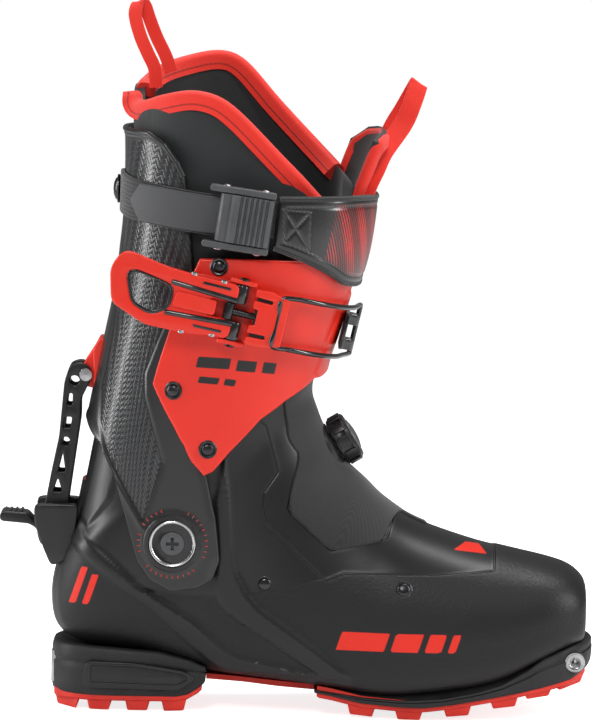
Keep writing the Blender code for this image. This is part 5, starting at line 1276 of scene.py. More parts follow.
# ------------------------------------------------------------------ cuff
@dataclass
class Cuff:
    """Rear cuff with carbon panels, two red front flaps, rivets and the ankle pivots.

    Attributes:
        wall: cuff wall.
        flap_wall: flap wall.
        front_edge: front edge of the cuff's side, from the ankle up.
        low_edge: lower edge, from the ankle to the back.
        panel: side outline of the carbon panel.
        ridge: moulded line below the panel.
        flap_left: rear edge of a flap.
        flap_low: lower edge of a flap.
        rivets: places of the flap rivets.
    """
    wall: float = 3.2
    flap_wall: float = 2.6
    front_edge: list = drawn((-46.5, 76.0), (-43.0, 86.0), (-45.5, 108.0), (-50.0, 128.0), (-57.0, 160.0),
        (-62.0, 200.0), (-61.0, 245.0), (-64.0, 270.0), (-66.5, 294.0))
    low_edge: list = drawn((-46.5, 76.0), (-56.0, 70.4), (-69.0, 68.2), (-81.0, 74.5), (-88.0, 84.5),
        (-94.5, 107.0), (-101.0, 130.0), (-109.0, 147.0))
    panel: list = drawn((-85.3, 106.2), (-75.4, 139), (-80, 154.7), (-85.7, 174.6), (-86, 187.2),
        (-79, 206.3), (-62.5, 244.9), (-59.1, 263.8), (-68.5, 294.5), (-71.5, 301.0), (-78.0, 309.0),
        (-86.0, 313.5), (-99.0, 313.5), (-99.3, 254.1), (-103.3, 210), (-109, 178.3), (-109.6, 159.4),
        (-102.8, 136.3))
    ridge: list = drawn((-118.0, 160.7), (-100.0, 128.0), (-85.3, 103.1))
    flap_left: list = drawn((-53.0, 132.6), (-57.2, 137.6), (-63.2, 148.8), (-69.2, 160.0), (-75.4, 171.8),
        (-80.0, 182.0), (-71.5, 212.0), (-62.5, 236.0), (-56.0, 251.0))
    flap_low: list = drawn((-53.0, 132.6), (-48.2, 135.0), (-40.0, 145.4), (-24.0, 163.5), (-11.0, 173.5))
    rivets: tuple = ((-46.0, 247.0), (-69.2, 179.0), (-51.0, 147.3))

    def build_rear(self) -> None:
        """Cuff sheet with rounded rims, a raised frame round the panels, a ridge and the ankle bosses."""
        line = CUFF_SKIN.side_line
        front, low = line(self.front_edge), line(self.low_edge) + [(168.0, 157.0), (180.0, 158.5)]
        top = line([(-66.5, 294.0), (-70.5, 302.0), (-77.0, 311.0), (-86.0, 316.5)]) + [(150.0, 317.0),
                                                                                        (180.0, 317.5)]
        edges = (low + mirrored(low[:-1])[::-1], top + mirrored(top[:-1])[::-1], front, mirrored(front))
        points = CUFF_SKIN.patch(edges, 0.0, (236, 138), 2.4, (330.0, 170.0))
        flat = points[..., [0, 2]].reshape(-1, 2)
        carbon = depth_in(flat, self.panel)
        boss = 17.0 - np.hypot(flat[:, 0] - PIVOT[0], flat[:, 1] - PIVOT[1])
        relief = (0.75 * ease(-carbon - 1.0, 2.4) + 0.7
                  * np.exp(-(line_distance(flat, self.ridge) / 1.6) ** 2) + 0.7 * ease(boss, 1.6) - 1.3
                  * np.clip(1.0 - line_distance(flat, self.front_edge) / 4.2, 0.0,
                            1.0)).reshape(points.shape[:2])
        relief = relief + edge_drop(points, 1.2)
        outward = level_outward(points)
        shape = slab(points, self.wall, outward, relief, {"carbon": carbon})
        low_uv = shape.uv.copy()
        low_uv[:, 1] = shape.points[:, 2] * MM
        shape.uv = low_uv @ np.array([[0.94, 0.34], [-0.34, 0.94]])
        SHOP.make("cuff_shell", shape, CARBON, "cuff", ("rear_cuff",), sharp=50.0)
        rim = points[-1] + np.array([0, 0, 0.2])
        lip = wire(rim[3:-3], 1.5)
        SHOP.make("cuff_rim", lip, BLACK, "cuff")

    def build_flaps(self) -> None:
        """Two red front plates with rounded rims, a soft crease, a raised rib and dark generic bars."""
        line = CUFF_SKIN.side_line
        left, low_side = line(self.flap_left), line(self.flap_low)
        top_side = line([(-56.0, 251.0), (-30.0, 251.0)])
        outer = (low_side + [(28.0, 184.0), (0.0, 186.5), (-9.0, 187.0)],
                 top_side + [(0.0, 248.0), (-9.0, 247.5)], left, [(-9.0, 187.0), (-10.0, 215.0),
                                                                  (-9.0, 247.5)])
        inner = (mirrored(low_side) + [(332.0, 184.0), (348.0, 186.4)], mirrored(top_side) + [(348.0, 248.0)],
                 mirrored(left), [(348.0, 186.4), (347.0, 215.0), (348.0, 248.0)])
        bars = [(-58.0, -40.0, 192.0, 198.0), (-36.5, -26.0, 190.4, 196.4), (-22.5, -15.5, 189.4, 195.4),
                (-57.0, -46.0, 183.6, 187.2), (-43.0, -37.0, 182.6, 186.2)]
        for name, edges, marked in (("outer", outer, True), ("inner", inner, False)):
            points = CUFF_SKIN.patch(edges, FLAP_LIFT, (150, 130), 1.8, (110.0, 110.0))
            flat = points[..., [0, 2]].reshape(-1, 2)
            crease = line_distance(flat, [(-44.0, 206.0), (-36.4, 149.0)])
            rib = depth_in(flat, [(24, 232), (27, 226), (17, 190), (9, 184), (6, 188), (13, 205)])
            relief = (-0.35 * np.exp(-(crease / 0.8) ** 2) + 0.9 * ease(rib, 1.8)).reshape(points.shape[:2])
            relief = relief + edge_drop(points, 1.3)
            mark = np.full(len(flat), -5.0)
            if marked:
                shapes = [[(a, low), (b, low - 0.8), (b + 1.2, high - 0.8), (a + 1.2, high)] for a, b, low,
                          high in bars]
                mark = np.maximum.reduce([depth_in(flat, shape) for shape in shapes])
            outward = level_outward(points)
            shape = slab(points, self.flap_wall, outward, relief, {"mark": mark})
            SHOP.make(f"flap_{name}", shape, RED_FLAP, "cuff", (f"cuff_flap_{name}",),
                      sharp=50.0)

    def build_rivets(self) -> None:
        """Six dark dome rivets with seat rings on the flaps."""
        number = 0
        for side in (OUTER, INNER):
            for x, z in self.rivets:
                number += 1
                turn = float(CUFF_SKIN.turn_at(x,
                                               z)) if side == OUTER else 360.0 - float(CUFF_SKIN.turn_at(x,
                                                                                                         z))
                place = CUFF_SKIN.points(turn, z, FLAP_LIFT).reshape(3)
                facing = CUFF_SKIN.points(turn, z, 6.0).reshape(3) - place
                seat = turned([(3.4, -0.5), (5.0, -0.5), (5.0, 0.3), (4.4, 0.7), (3.4, 0.4)], place, facing,
                              44)
                SHOP.make(f"cuff_rivet_head_{number}", joined(dome_head(place, facing, 3.5, 1.9), seat),
                          DARK_METAL, "cuff", (f"cuff_rivet_{number}",))

    def build_pivots(self) -> None:
        """Ankle joints: dark dish, bright washer, grey cap with a cross recess and small red ticks."""
        x, z = PIVOT
        for side, name in ((OUTER, "outer"), (INNER, "inner")):
            axis, face = (0, side, 0), PIVOT_FACE
            start = (x, side * face, z)
            dish = turned([(0, -7.5), (4.9, -7.5), (4.9, 0.3), (15.6, 0.3), (15.9, 0.9), (15.4, 1.5),
                           (13.2, 1.6), (12.8, 1.0), (10.2, 1.0), (9.8, 0.8), (7.4, 0.9), (6.6, 1.3),
                           (0, 1.3)], start, axis, 72)
            SHOP.make(f"pivot_dish_{name}", dish, BLACK, "cuff")
            washer = turned([(11.0, 0.6), (12.5, 0.6), (12.7, 1.6), (12.5, 2.2), (12.1, 2.4), (11.3, 2.1),
                             (10.9, 1.6)], start, axis, 80)
            SHOP.make(f"pivot_washer_{name}", washer, STEEL, "cuff", (f"pivot_ring_{name}",))
            cross = [(-3.3, -0.8), (-0.8, -0.8), (-0.8, -3.3), (0.8, -3.3), (0.8, -0.8), (3.3, -0.8),
                     (3.3, 0.8), (0.8, 0.8), (0.8, 3.3), (-0.8, 3.3), (-0.8, 0.8), (-3.3, 0.8)]
            hole = np.array(cross) + np.array([x, z])
            low, high = sorted((side * (face + 1.2), side * (face + 2.5)))
            cap = plate(circle((x, z), 6.3, 56), low, high, Plane.SIDE, 0.45, [hole], radius=0)
            SHOP.make(f"pivot_cap_{name}", cap, GREY, "cuff", (f"pivot_bolt_{name}",))
            turns = np.radians(np.arange(8.0, 352.0, 9.5))
            turns = turns[(np.arange(len(turns)) % 12) > 1]
            quad = np.array([(-0.3, 17.7), (0.3, 17.7), (0.3, 19.3), (-0.3, 19.3)])
            flat = np.stack([x + quad[:, 0] * np.cos(turns)[:, None] + quad[:, 1] * np.sin(turns)[:, None],
                             z - quad[:, 0] * np.sin(turns)[:, None] + quad[:, 1] * np.cos(turns)[:, None]],
                             axis=-1)
            boss = 0.7 * ease(17.0 - np.hypot(flat[..., 0] - x, flat[..., 1] - z), 1.6) + 0.75
            pairs = np.stack([CUFF_SKIN.on_side(flat, boss + lift, side) for lift in (0.0, 0.22)], axis=1)
            block = np.array([(0, 1, 2, 3), (7, 6, 5, 4), (0, 4, 5, 1), (1, 5, 6, 2), (2, 6, 7, 3),
                              (3, 7, 4, 0)])
            faces = (block[None] + 8 * np.arange(len(turns))[:, None, None]).reshape(-1, 4).tolist()
            SHOP.make(f"pivot_ticks_{name}", Shape(pairs.reshape(-1, 3), faces), DIM_RED, "cuff")


# ------------------------------------------------------------------ liner
@dataclass
class Liner:
    """Padded liner: foot, shaft, red bindings, tongue and pull loops.

    Attributes:
        wall: foam wall.
        shaft: front point, back point and half width of each shaft section.
        top_outer: top line on the outer side, from the back to the front.
        top_inner: top line on the inner side.
    """
    wall: float = 6.0
    shaft: list = drawn(((-4.0, 180.0), (-117.0, 112.0), 34.0), ((-7.0, 186.0), (-109.0, 135.0), 32.0),
        ((-6.0, 193.0), (-103.5, 156.0), 32.0), ((1.0, 205.0), (-102.0, 182.0), 35.6),
        ((12.0, 223.0), (-98.5, 209.0), 41.0), ((18.5, 246.0), (-96.0, 241.0), 45.4),
        ((23.5, 270.0), (-95.4, 272.0), 48.8), ((26.5, 300.0), (-95.4, 305.0), 50.0),
        ((29.0, 330.0), (-95.6, 335.0), 50.4), ((31.0, 366.0), (-95.8, 367.0), 50.6))
    top_outer: list = drawn((-130, 331), (-92.5, 332.5), (-80, 336.5), (-65, 340), (-56, 339.5), (-46, 336),
        (-36, 328), (-20, 312), (0, 291.5), (7.5, 283), (20, 276), (60, 272))
    top_inner: list = drawn((-130, 340), (-95, 342), (-88.6, 345.5), (-79.8, 351), (-61, 356.6),
        (-49, 358.2), (-40, 356), (-32.5, 349.5), (-16, 331), (4, 310.5), (25, 289.5), (29.5, 281),
        (40, 275), (60, 272))

    def rings(self, spots: Array, columns: int, inset: float) -> Array:
        """Rings of the liner's outer form moved inward: the shell's inside for the foot, then the shaft."""
        foot = SHELL_SKIN.table(5.8 + inset, 6.0)[:15]
        rows = []
        for front, back, half in self.shaft:
            f, b = np.array(front), np.array(back)
            along = (f - b) / np.linalg.norm(f - b)
            rows.append([*(f - along * inset), *(b + along * inset), half - inset, 0.0, 2.4, 2.4])
        return rings_over(np.concatenate([foot, np.array(rows)]), spots, columns)

    def top_height(self, x: Array, y: Array) -> Array:
        """Height of the rim: the two sides' top lines, eased into each other near the mid-plane."""
        outer = np.interp(x, *np.array(smooth_line(self.top_outer, 120)).T)
        inner = np.interp(x, *np.array(smooth_line(self.top_inner, 120)).T)
        return outer + (inner - outer) * ease(y, 22.0)

    @staticmethod
    def shaft_low(x: Array) -> Array:
        """Lower edge of the shaft.

        An arc about the ankle with a straight line to the back and one to the front.
        """
        turn = np.radians(np.linspace(116, 71, 14))
        arc_x, arc_z = PIVOT[0] + 45.5 * np.cos(turn), PIVOT[1] + 45.5 * np.sin(turn)
        return np.interp(x, [-139, *arc_x, -29.3, -8, 25, 70], [239, *arc_z, 210.4, 206, 198, 198])

    @staticmethod
    def foot_high(x: Array) -> Array:
        """Upper edge of the foot: an arc just inside the shaft's, with a line to each end."""
        turn = np.radians(np.linspace(130, 48, 14))
        arc_x, arc_z = PIVOT[0] + 43.8 * np.cos(turn), PIVOT[1] + 43.8 * np.sin(turn)
        return np.interp(x, [-200, -126.9, *arc_x, 7.3, 40], [190, 163.9, *arc_z, 179.7, 200])

    @staticmethod
    def between(rings: Array, first: Array, last: Array, rows: int) -> Array:
        """Columns of a dense grid read between two row numbers per column, linear between dense rows."""
        first, last = smoothed(first, 3, "wrap"), smoothed(last, 3, "wrap")
        spot = first[None] + (last - first)[None] * np.linspace(0.0, 1.0, rows)[:, None]
        low = np.clip(np.floor(spot).astype(int), 0, len(rings) - 2)
        part = (spot - low)[..., None]
        column = np.arange(rings.shape[1])[None]
        return rings[low, column] * (1 - part) + rings[low + 1, column] * part

    def shaft_skin(self, inset: float, rows: int) -> Array:
        """One skin of the shaft from its lower edge to its rim."""
        dense = self.rings(np.linspace(13.0, 24.0, 760), 240, inset)
        x, y, z = dense[..., 0], dense[..., 1], dense[..., 2]
        number = np.arange(len(dense))[:, None]
        first = np.where(z < self.shaft_low(x), number, 0).max(axis=0)
        above = (z > self.top_height(x, y) - 1.2) & (number > first[None])
        last = np.where(above.any(axis=0), np.argmax(above, axis=0), len(dense) - 1)
        return self.between(dense, first.astype(float), last.astype(float), rows)

    def build_shaft(self) -> None:
        """Shaft as a closed ring of two skins; the foam swells a little between its seams."""
        outer, inner = self.shaft_skin(0.0, 130), self.shaft_skin(self.wall, 90)
        share = np.linspace(0, 1, 130)[:, None]
        turn = np.linspace(0, 2 * math.pi, 240, endpoint=False)[None]
        swell = 0.5 * np.sin(math.pi * share) * (np.abs(np.sin(2.5 * turn)) ** 0.6 - 0.6)
        normal = grid_normals(outer, True)
        normal *= np.sign((normal * (outer - outer.mean(axis=1, keepdims=True))).sum())
        outer = outer + normal * np.minimum(swell, 0.0)[..., None]
        piece = SHOP.make("liner_upper", tube(np.concatenate([outer, inner[::-1]]), wrap_rows=True), LINER,
                          "cuff", ("liner_shaft",))

    def build_foot(self) -> None:
        """Foot as a closed tube: outer skin from the toe to the ankle, and back along the inner skin."""
        skins = []
        for inset in (0.0, self.wall):
            dense = self.rings(np.linspace(0.0, 19.0, 500), 160, inset)
            number = np.arange(len(dense))[:, None]
            above = (dense[..., 2] > self.foot_high(dense[..., 0])) & (number > 120)
            last = np.where(above.any(axis=0), np.argmax(above, axis=0), 380)
            skins.append(self.between(dense, np.zeros(160), last.astype(float), 90))
        piece = SHOP.make("liner_lower", tube(np.concatenate([skins[0], skins[1][::-1]])), LINER,
                          "lower_boot", ("liner_foot",))

    def build_bindings(self) -> None:
        """Red edge tape over the rim: an arch section carried along it, sewn on each side."""
        rim = self.shaft_skin(self.wall / 2, 4)[-1]
        half, round_top = 4.4, np.radians(np.linspace(180, 0, 15))
        arch = np.concatenate([[(-half, -9.2), (-half, -6.0), (-half, -3.0)],
                               np.stack([half * np.cos(round_top), 3.2 * np.sin(round_top) - 1.9], axis=1),
                               [(half, -3.0), (half, -6.0), (half, -9.2)]])
        for name, first, last in (("outer", 0.085, 0.493), ("inner", 0.93, 0.507)):
            columns = np.linspace(first, last, 150) * 240
            low = np.floor(columns).astype(int) % 240
            part = (columns - np.floor(columns))[:, None]
            path = rim[low] * (1 - part) + rim[(low + 1) % 240] * part
            path = smoothed(path, 4)
            slope = np.gradient(path, axis=0)
            up = np.stack([-slope[:, 2], np.zeros(len(path)), slope[:, 0]], axis=1)
            up *= np.sign(up[:, 2:3]) / np.linalg.norm(up, axis=1)[:, None]
            SHOP.make(f"binding_{name}", carried(arch, path + up * 0.6, up), RED_BINDING, "cuff",
                      (f"liner_binding_{name}",), sharp=60.0)

    @staticmethod
    def tongue_points(turn: Array, z: Array, offset: float) -> Array:
        """Tongue skin: the cuff's skin, leaning forward above the cuff."""
        points = CUFF_SKIN.points(turn, z, offset)
        points[..., 0] += np.interp(points[..., 2], [256, 285, 300, 319], [0, 0, 4, 9])
        return points

    def build_tongue(self) -> None:
        """Tongue with a crowned face, pressed panel lines and a red edge tape."""
        u, v = np.linspace(0, 1, 110)[None, :], np.linspace(0, 1, 100)[:, None]
        turn = 22.0 - 66.0 * u + 0 * v
        top = np.interp(u, [0, 0.2, 0.5, 0.8, 1], [313.5, 317.5, 319.5, 318.0, 311.0])
        z = 252.0 + (top - 252.0) * v
        crown = 1.2 * np.sin(math.pi * u) ** 0.5 * np.ones_like(v)
        lines = 0.5 * np.exp(-(((z - 268.0 - 60.0 * np.abs(u - 0.45)) % 17.0 - 8.5) / 0.7) ** 2)
        points = self.tongue_points(turn, z, -0.6)
        outward = level_outward(points)
        piece = SHOP.make("tongue_pad", slab(points, 3.4, outward, crown - lines + edge_drop(points, 1.4)),
                          LINER, "cuff", ("tongue",))
        sides = [self.tongue_points(np.full(30, at), np.linspace(low, high, 30), -1.6)
                 for at, low, high in ((20.6, 268.0, 311.0), (-42.6, 308.5, 268.0))]
        away = [self.tongue_points(a, 290.0, -1.6) - self.tongue_points(b, 290.0, -1.6) for a,
                b in ((22.0, 20.0), (-44.0, -42.0))]
        line = np.concatenate([sides[0], self.tongue_points(turn[-1], z[-1] - 2.0, -1.6)[3:-3], sides[1]])
        up = np.concatenate([np.tile(away[0] / np.linalg.norm(away[0]), (30, 1)),
                             np.tile((0.0, 0.0, 1.0), (len(line) - 60, 1)),
                             np.tile(away[1] / np.linalg.norm(away[1]), (30, 1))])
        turn_half = np.radians(np.linspace(180, 0, 13))
        arch = np.concatenate([[(-2.9, -4.4), (-2.9, -1.0)],
                               np.stack([2.9 * np.cos(turn_half), 2.4 * np.sin(turn_half)], axis=1),
                               [(2.9, -1.0), (2.9, -4.4)]])
        SHOP.make("tongue_tape", carried(arch, smoothed(line, 4), smoothed(up, 4)), RED_TAPE, "cuff")

    @staticmethod
    def tape(path: Array, across: Array, half_width: float, half_thickness: float) -> Shape:
        """Flat tape with rounded edges; across gives the width direction per point."""
        turn = np.linspace(0, 2 * math.pi, 32, endpoint=False)
        power = 0.35
        section = np.stack([half_thickness * np.sign(np.sin(turn)) * np.abs(np.sin(turn)) ** power,
                            half_width * np.sign(np.cos(turn)) * np.abs(np.cos(turn)) ** 0.6], axis=1)
        return carried(section, path, across)

    def build_loops(self) -> None:
        """Finger loops of flat tape behind the rim and on the tongue, the front one sewn down its face."""
        rear = smooth_line([(-83.5, -6.2, 340.0), (-84.5, -6.6, 350.5), (-88.0, -6.9, 358.0),
                            (-92.5, -6.6, 368.0), (-95.6, -4.6, 379.0), (-94.6, -2.0, 385.0),
                            (-92.6, 0.0, 386.0), (-90.4, 2.0, 384.0), (-88.0, 4.6, 377.0),
                            (-84.0, 6.6, 367.0), (-79.0, 6.8, 357.0), (-75.5, 6.6, 348.0)], 90)
        SHOP.make("rear_loop_tape", self.tape(rear, np.tile((0.91, 0.0, 0.41), (90, 1)), 3.6, 0.8), RED_TAPE,
                  "cuff", ("rear_pull_loop",))
        z = np.array([279.0, 288.0, 298.0, 308.0])
        sewn = self.tongue_points(np.array([17.0, 16.0, 14.0, 10.0]), z, 1.6)
        free = [(52.0, -6.0, 323.0), (56.5, -5.0, 334.0), (59.6, -1.5, 343.4), (59.6, 0.6, 344.4),
                (57.6, 3.8, 340.5), (52.0, 5.6, 330.0), (47.0, 5.4, 321.5), (44.6, 4.4, 316.0)]
        path = smooth_line([*sewn, *free], 110)
        tilt = smooth_line([(0.80, -0.45, -0.25), (0.80, -0.42, -0.28), (0.82, -0.35, -0.35),
                            (0.84, -0.2, -0.45), *([(0.80, 0.0, -0.60)] * 8)], 110)
        SHOP.make("front_loop_tape", self.tape(path, tilt, 5.2, 0.8), RED_TAPE, "cuff",
                  ("front_pull_loop",))


# ------------------------------------------------------------------ sole
@dataclass
class Sole:
    """Rims, lugged outsoles, arch strip, binding fittings and heel panels.

    Attributes:
        heel: half outline of the heel at the outer side.
        fore: half outline of the forefoot.
        fore_bottom: lower edge of the forefoot rim.
        fore_top: upper edge of the forefoot rim.
        fore_seat: height of the forefoot rim inside, where the shell rests.
        heel_bottom: lower edge of the heel rim.
        heel_top: upper edge of the heel rim.
        heel_lugs: centres and tip heights.
        fore_lugs: centres and tip heights.
    """
    heel: list = drawn((-50, -33), (-75, -34), (-105, -34.5), (-120, -31), (-130, -23), (-134.5, -11),
        (-135, 0))
    fore: list = drawn((162.5, 0), (161.5, -10), (157.5, -22), (151, -31), (139, -37.5), (119, -44),
        (95, -47.5), (66, -48), (38, -44.5), (10, -38))
    fore_bottom: list = drawn((10, 12.6), (19, 11.4), (35, 8.3), (57, 7.0), (70, 7.0), (85, 9.0),
        (112, 13.8), (134, 18.0), (150, 21.7), (160, 27.0), (164, 31.0))
    fore_top: list = drawn((10, 14.4), (35, 11.8), (57, 10.9), (80, 12.6), (100, 16.8), (112, 20.6),
        (125.5, 28.0), (134, 34.2), (150, 40.6), (158, 42.4), (164, 42.4))
    fore_seat: list = drawn((10, 17.0), (40, 15.5), (72, 16.0), (90, 19.5), (112, 24.5), (134, 34.2),
        (150, 40.6), (164, 42.4))
    heel_bottom: list = drawn((-140, 7.8), (-66, 7.8), (-60, 9.0), (-54, 12.6), (-50, 16.4))
    heel_top: list = drawn((-140, 35.5), (-125, 35.5), (-100, 34.2), (-75, 32.4), (-58, 28.4), (-50, 25.0))
    heel_lugs: tuple = ((-126.0, 0.0), (-108.0, 0.0), (-87.0, 0.0), (-67.0, 0.0))
    fore_lugs: tuple = ((35.5, 1.2), (61.5, 0.0), (88.0, 2.6), (113.5, 7.4), (132.0, 12.6), (150.0, 17.4))

    @staticmethod
    def rim(half: list, bottom: list, top: list, seat: list, count: int) -> Array:
        """Rim rings: the outline's points moved inward by each section step, at heights between its edges."""
        near = smooth_line(half, 200)
        loop = np.concatenate([near, near[::-1] * np.array([1.0, -1.0])])
        loop = spaced(np.concatenate([loop, loop[:1]]), count + 1)[:-1]
        slope = np.roll(loop, -1, axis=0) - np.roll(loop, 1, axis=0)
        out = np.stack([slope[:, 1], -slope[:, 0]], axis=1) / np.linalg.norm(slope, axis=1, keepdims=True)
        out *= np.sign((out * (loop - loop.mean(axis=0))).sum())
        steps = np.array([(13, .04), (5.0, 0.0), (1.4, 0.0), (0.5, 0.03), (0.0, 0.10), (-0.3, 0.3),
                          (-0.35, 0.50), (-0.3, 0.60), (0.5, 0.63), (0.6, 0.67), (-0.1, 0.71), (-0.1, 0.86),
                          (0.25, 0.94), (0.9, 0.985), (1.9, 1.0), (6.0, 1.0), (13, 0.93)])
        flat = loop[None] - out[None] * steps[:, 0][:, None, None]
        low, high = np.interp(flat[..., 0], *np.array(bottom).T), np.interp(flat[..., 0], *np.array(top).T)
        inner = (steps[:, 0] > 4.0) & (steps[:, 1] > 0.5)
        high = np.where(inner[:, None], np.interp(flat[..., 0], *np.array(seat).T), high)
        return np.concatenate([flat, (low + (high - low) * steps[:, 1][:, None])[..., None]], axis=2)

    def half_width(self, half: list, x: Array) -> Array:
        """Half width of an outline at x."""
        line = np.array(smooth_line(half, 200))
        order = np.argsort(line[:, 0])
        return np.interp(x, line[order, 0], -line[order, 1])

    def lug(self, x: float, tip: float, base: float, slope: float, half: list, side: int,
            reach: float) -> Shape:
        """One tapered lug block following the outline, with chamfered rims."""
        ends = np.array([x - reach, x + reach])
        wide = self.half_width(half, ends) * 0.955
        near = 6.5
        outline = [(ends[0], side * near), (ends[1], side * near), (ends[1] - 0.6, side * wide[1]),
                   (ends[0] + 0.6, side * wide[0])]
        depth = base - tip
        block = plate(outline, 0.0, depth, Plane.PLAN, 0.7, radius=1.6)
        z = block.points[:, 2]
        share = 1.0 - z / depth
        block.points[:, 0] = x + (block.points[:, 0] - x) * (1 - 0.20 * share)
        block.points[:, 1] = block.points[:, 1] * (1 - 0.025 * share)
        block.points[:, 2] = tip + z + (block.points[:, 0] - x) * slope * (1 - 0.5 * share)
        return block

    def outsole(self, half: list, bottom: list, lugs: tuple, span: tuple[float, float],
                reach: float) -> Shape:
        """Thin tread sheet under the rim with two blocks per lug row."""
        x = np.linspace(*span, 90)[:, None]
        share = np.linspace(-1, 1, 31)[None]
        wide = self.half_width(half, x) * 0.97
        low = np.interp(x, *np.array(bottom).T) - 0.4 + 0 * share
        tread = np.stack(np.broadcast_arrays(x, share * wide, low), axis=-1)
        sheet = slab(tread, 2.4, (0, 0, -1.0), edge_drop(tread, 1.0))
        sheet.points[:, 2] -= np.where(np.arange(len(sheet.points)) < tread.shape[0] * tread.shape[1], 2.4,
                                       -2.4 + 0.3)
        sheet.uv = None
        blocks = []
        for place, tip in lugs:
            base = float(np.interp(place, *np.array(bottom).T)) - 1.6
            slope = float(np.interp(place + 4, *np.array(bottom).T) - np.interp(place - 4,
                                                                                *np.array(bottom).T)) / 8.0
            blocks += [self.lug(place, tip, base, slope, half, side, reach) for side in (OUTER, INNER)]
        return joined(sheet, *blocks)

    def build_rims(self) -> None:
        """Heel and forefoot rims as closed bands with a moulded step line."""
        heel = self.rim(self.heel, self.heel_bottom, self.heel_top, self.heel_top, 300)
        SHOP.make("heel_rim_body", tube(heel), SOFT_BLACK, "lower_boot", ("heel_rim",),
                  sharp=60.0)
        fore = self.rim(self.fore, self.fore_bottom, self.fore_top, self.fore_seat, 420)
        SHOP.make("forefoot_rim_body", tube(fore), SOFT_BLACK, "lower_boot", ("forefoot_rim",),
                  sharp=60.0)
        heel_sole = self.outsole(self.heel, self.heel_bottom, self.heel_lugs, (-133.5, -51.0), 7.4)
        SHOP.make("heel_tread", heel_sole, RED_RUBBER, "lower_boot", ("heel_outsole",))
        fore_sole = self.outsole(self.fore, self.fore_bottom, self.fore_lugs, (11.0, 159.0), 8.2)
        SHOP.make("forefoot_tread", fore_sole, RED_RUBBER, "lower_boot", ("forefoot_outsole",))
        SHOP.dress("arch_strip", RED_RUBBER)

    def build_fittings(self) -> None:
        """Toe sockets, heel insert with its screws, and the inset heel panels."""
        for side, name in ((OUTER, "outer"), (INNER, "inner")):
            profile = [(0, 3.6), (1.0, 3.4), (1.6, 2.6), (2.9, 0.3), (3.3, 0.0), (4.5, 0.0), (4.7, 0.35),
                       (5.3, 0.3), (5.5, 0.8), (5.5, 9.0), (0, 9.0)]
            socket = turned(profile, (152.0, side * 34.4, 31.8), (0, -side, 0), 64)
            replaced = ("toe_fitting",) if side == OUTER else ()
            SHOP.make(f"toe_socket_{name}", socket, STEEL, "lower_boot", replaced)
            panel = [(-116.5, 14.0), (-113.5, 12.8), (-64.5, 12.2), (-55.5, 18.6), (-61.0, 22.6),
                     (-88.0, 26.6), (-114.5, 27.2), (-117.0, 20.0)]
            low, high = sorted((side * 30.0, side * 35.2))
            body = plate(panel, low, high, Plane.SIDE, 0.6, radius=2.4)
            low, high = sorted((side * 33.0, side * 36.2))
            field_line = [(-112.6, 15.8), (-65.4, 14.8), (-59.0, 18.8), (-62.4, 21.2), (-88.0, 24.8),
                          (-112.8, 25.2)]
            frame = plate(panel, low, high, Plane.SIDE, 0.4, [rounded(field_line, 1.6)], radius=2.4)
            SHOP.make(f"heel_inset_{name}", joined(body, frame), BLACK, "lower_boot",
                      (f"heel_panel_{name}",))
        for node in ("heel_fitting", "heel_fitting_screw_1", "heel_fitting_screw_2"):
            SHOP.dress(node, STEEL)


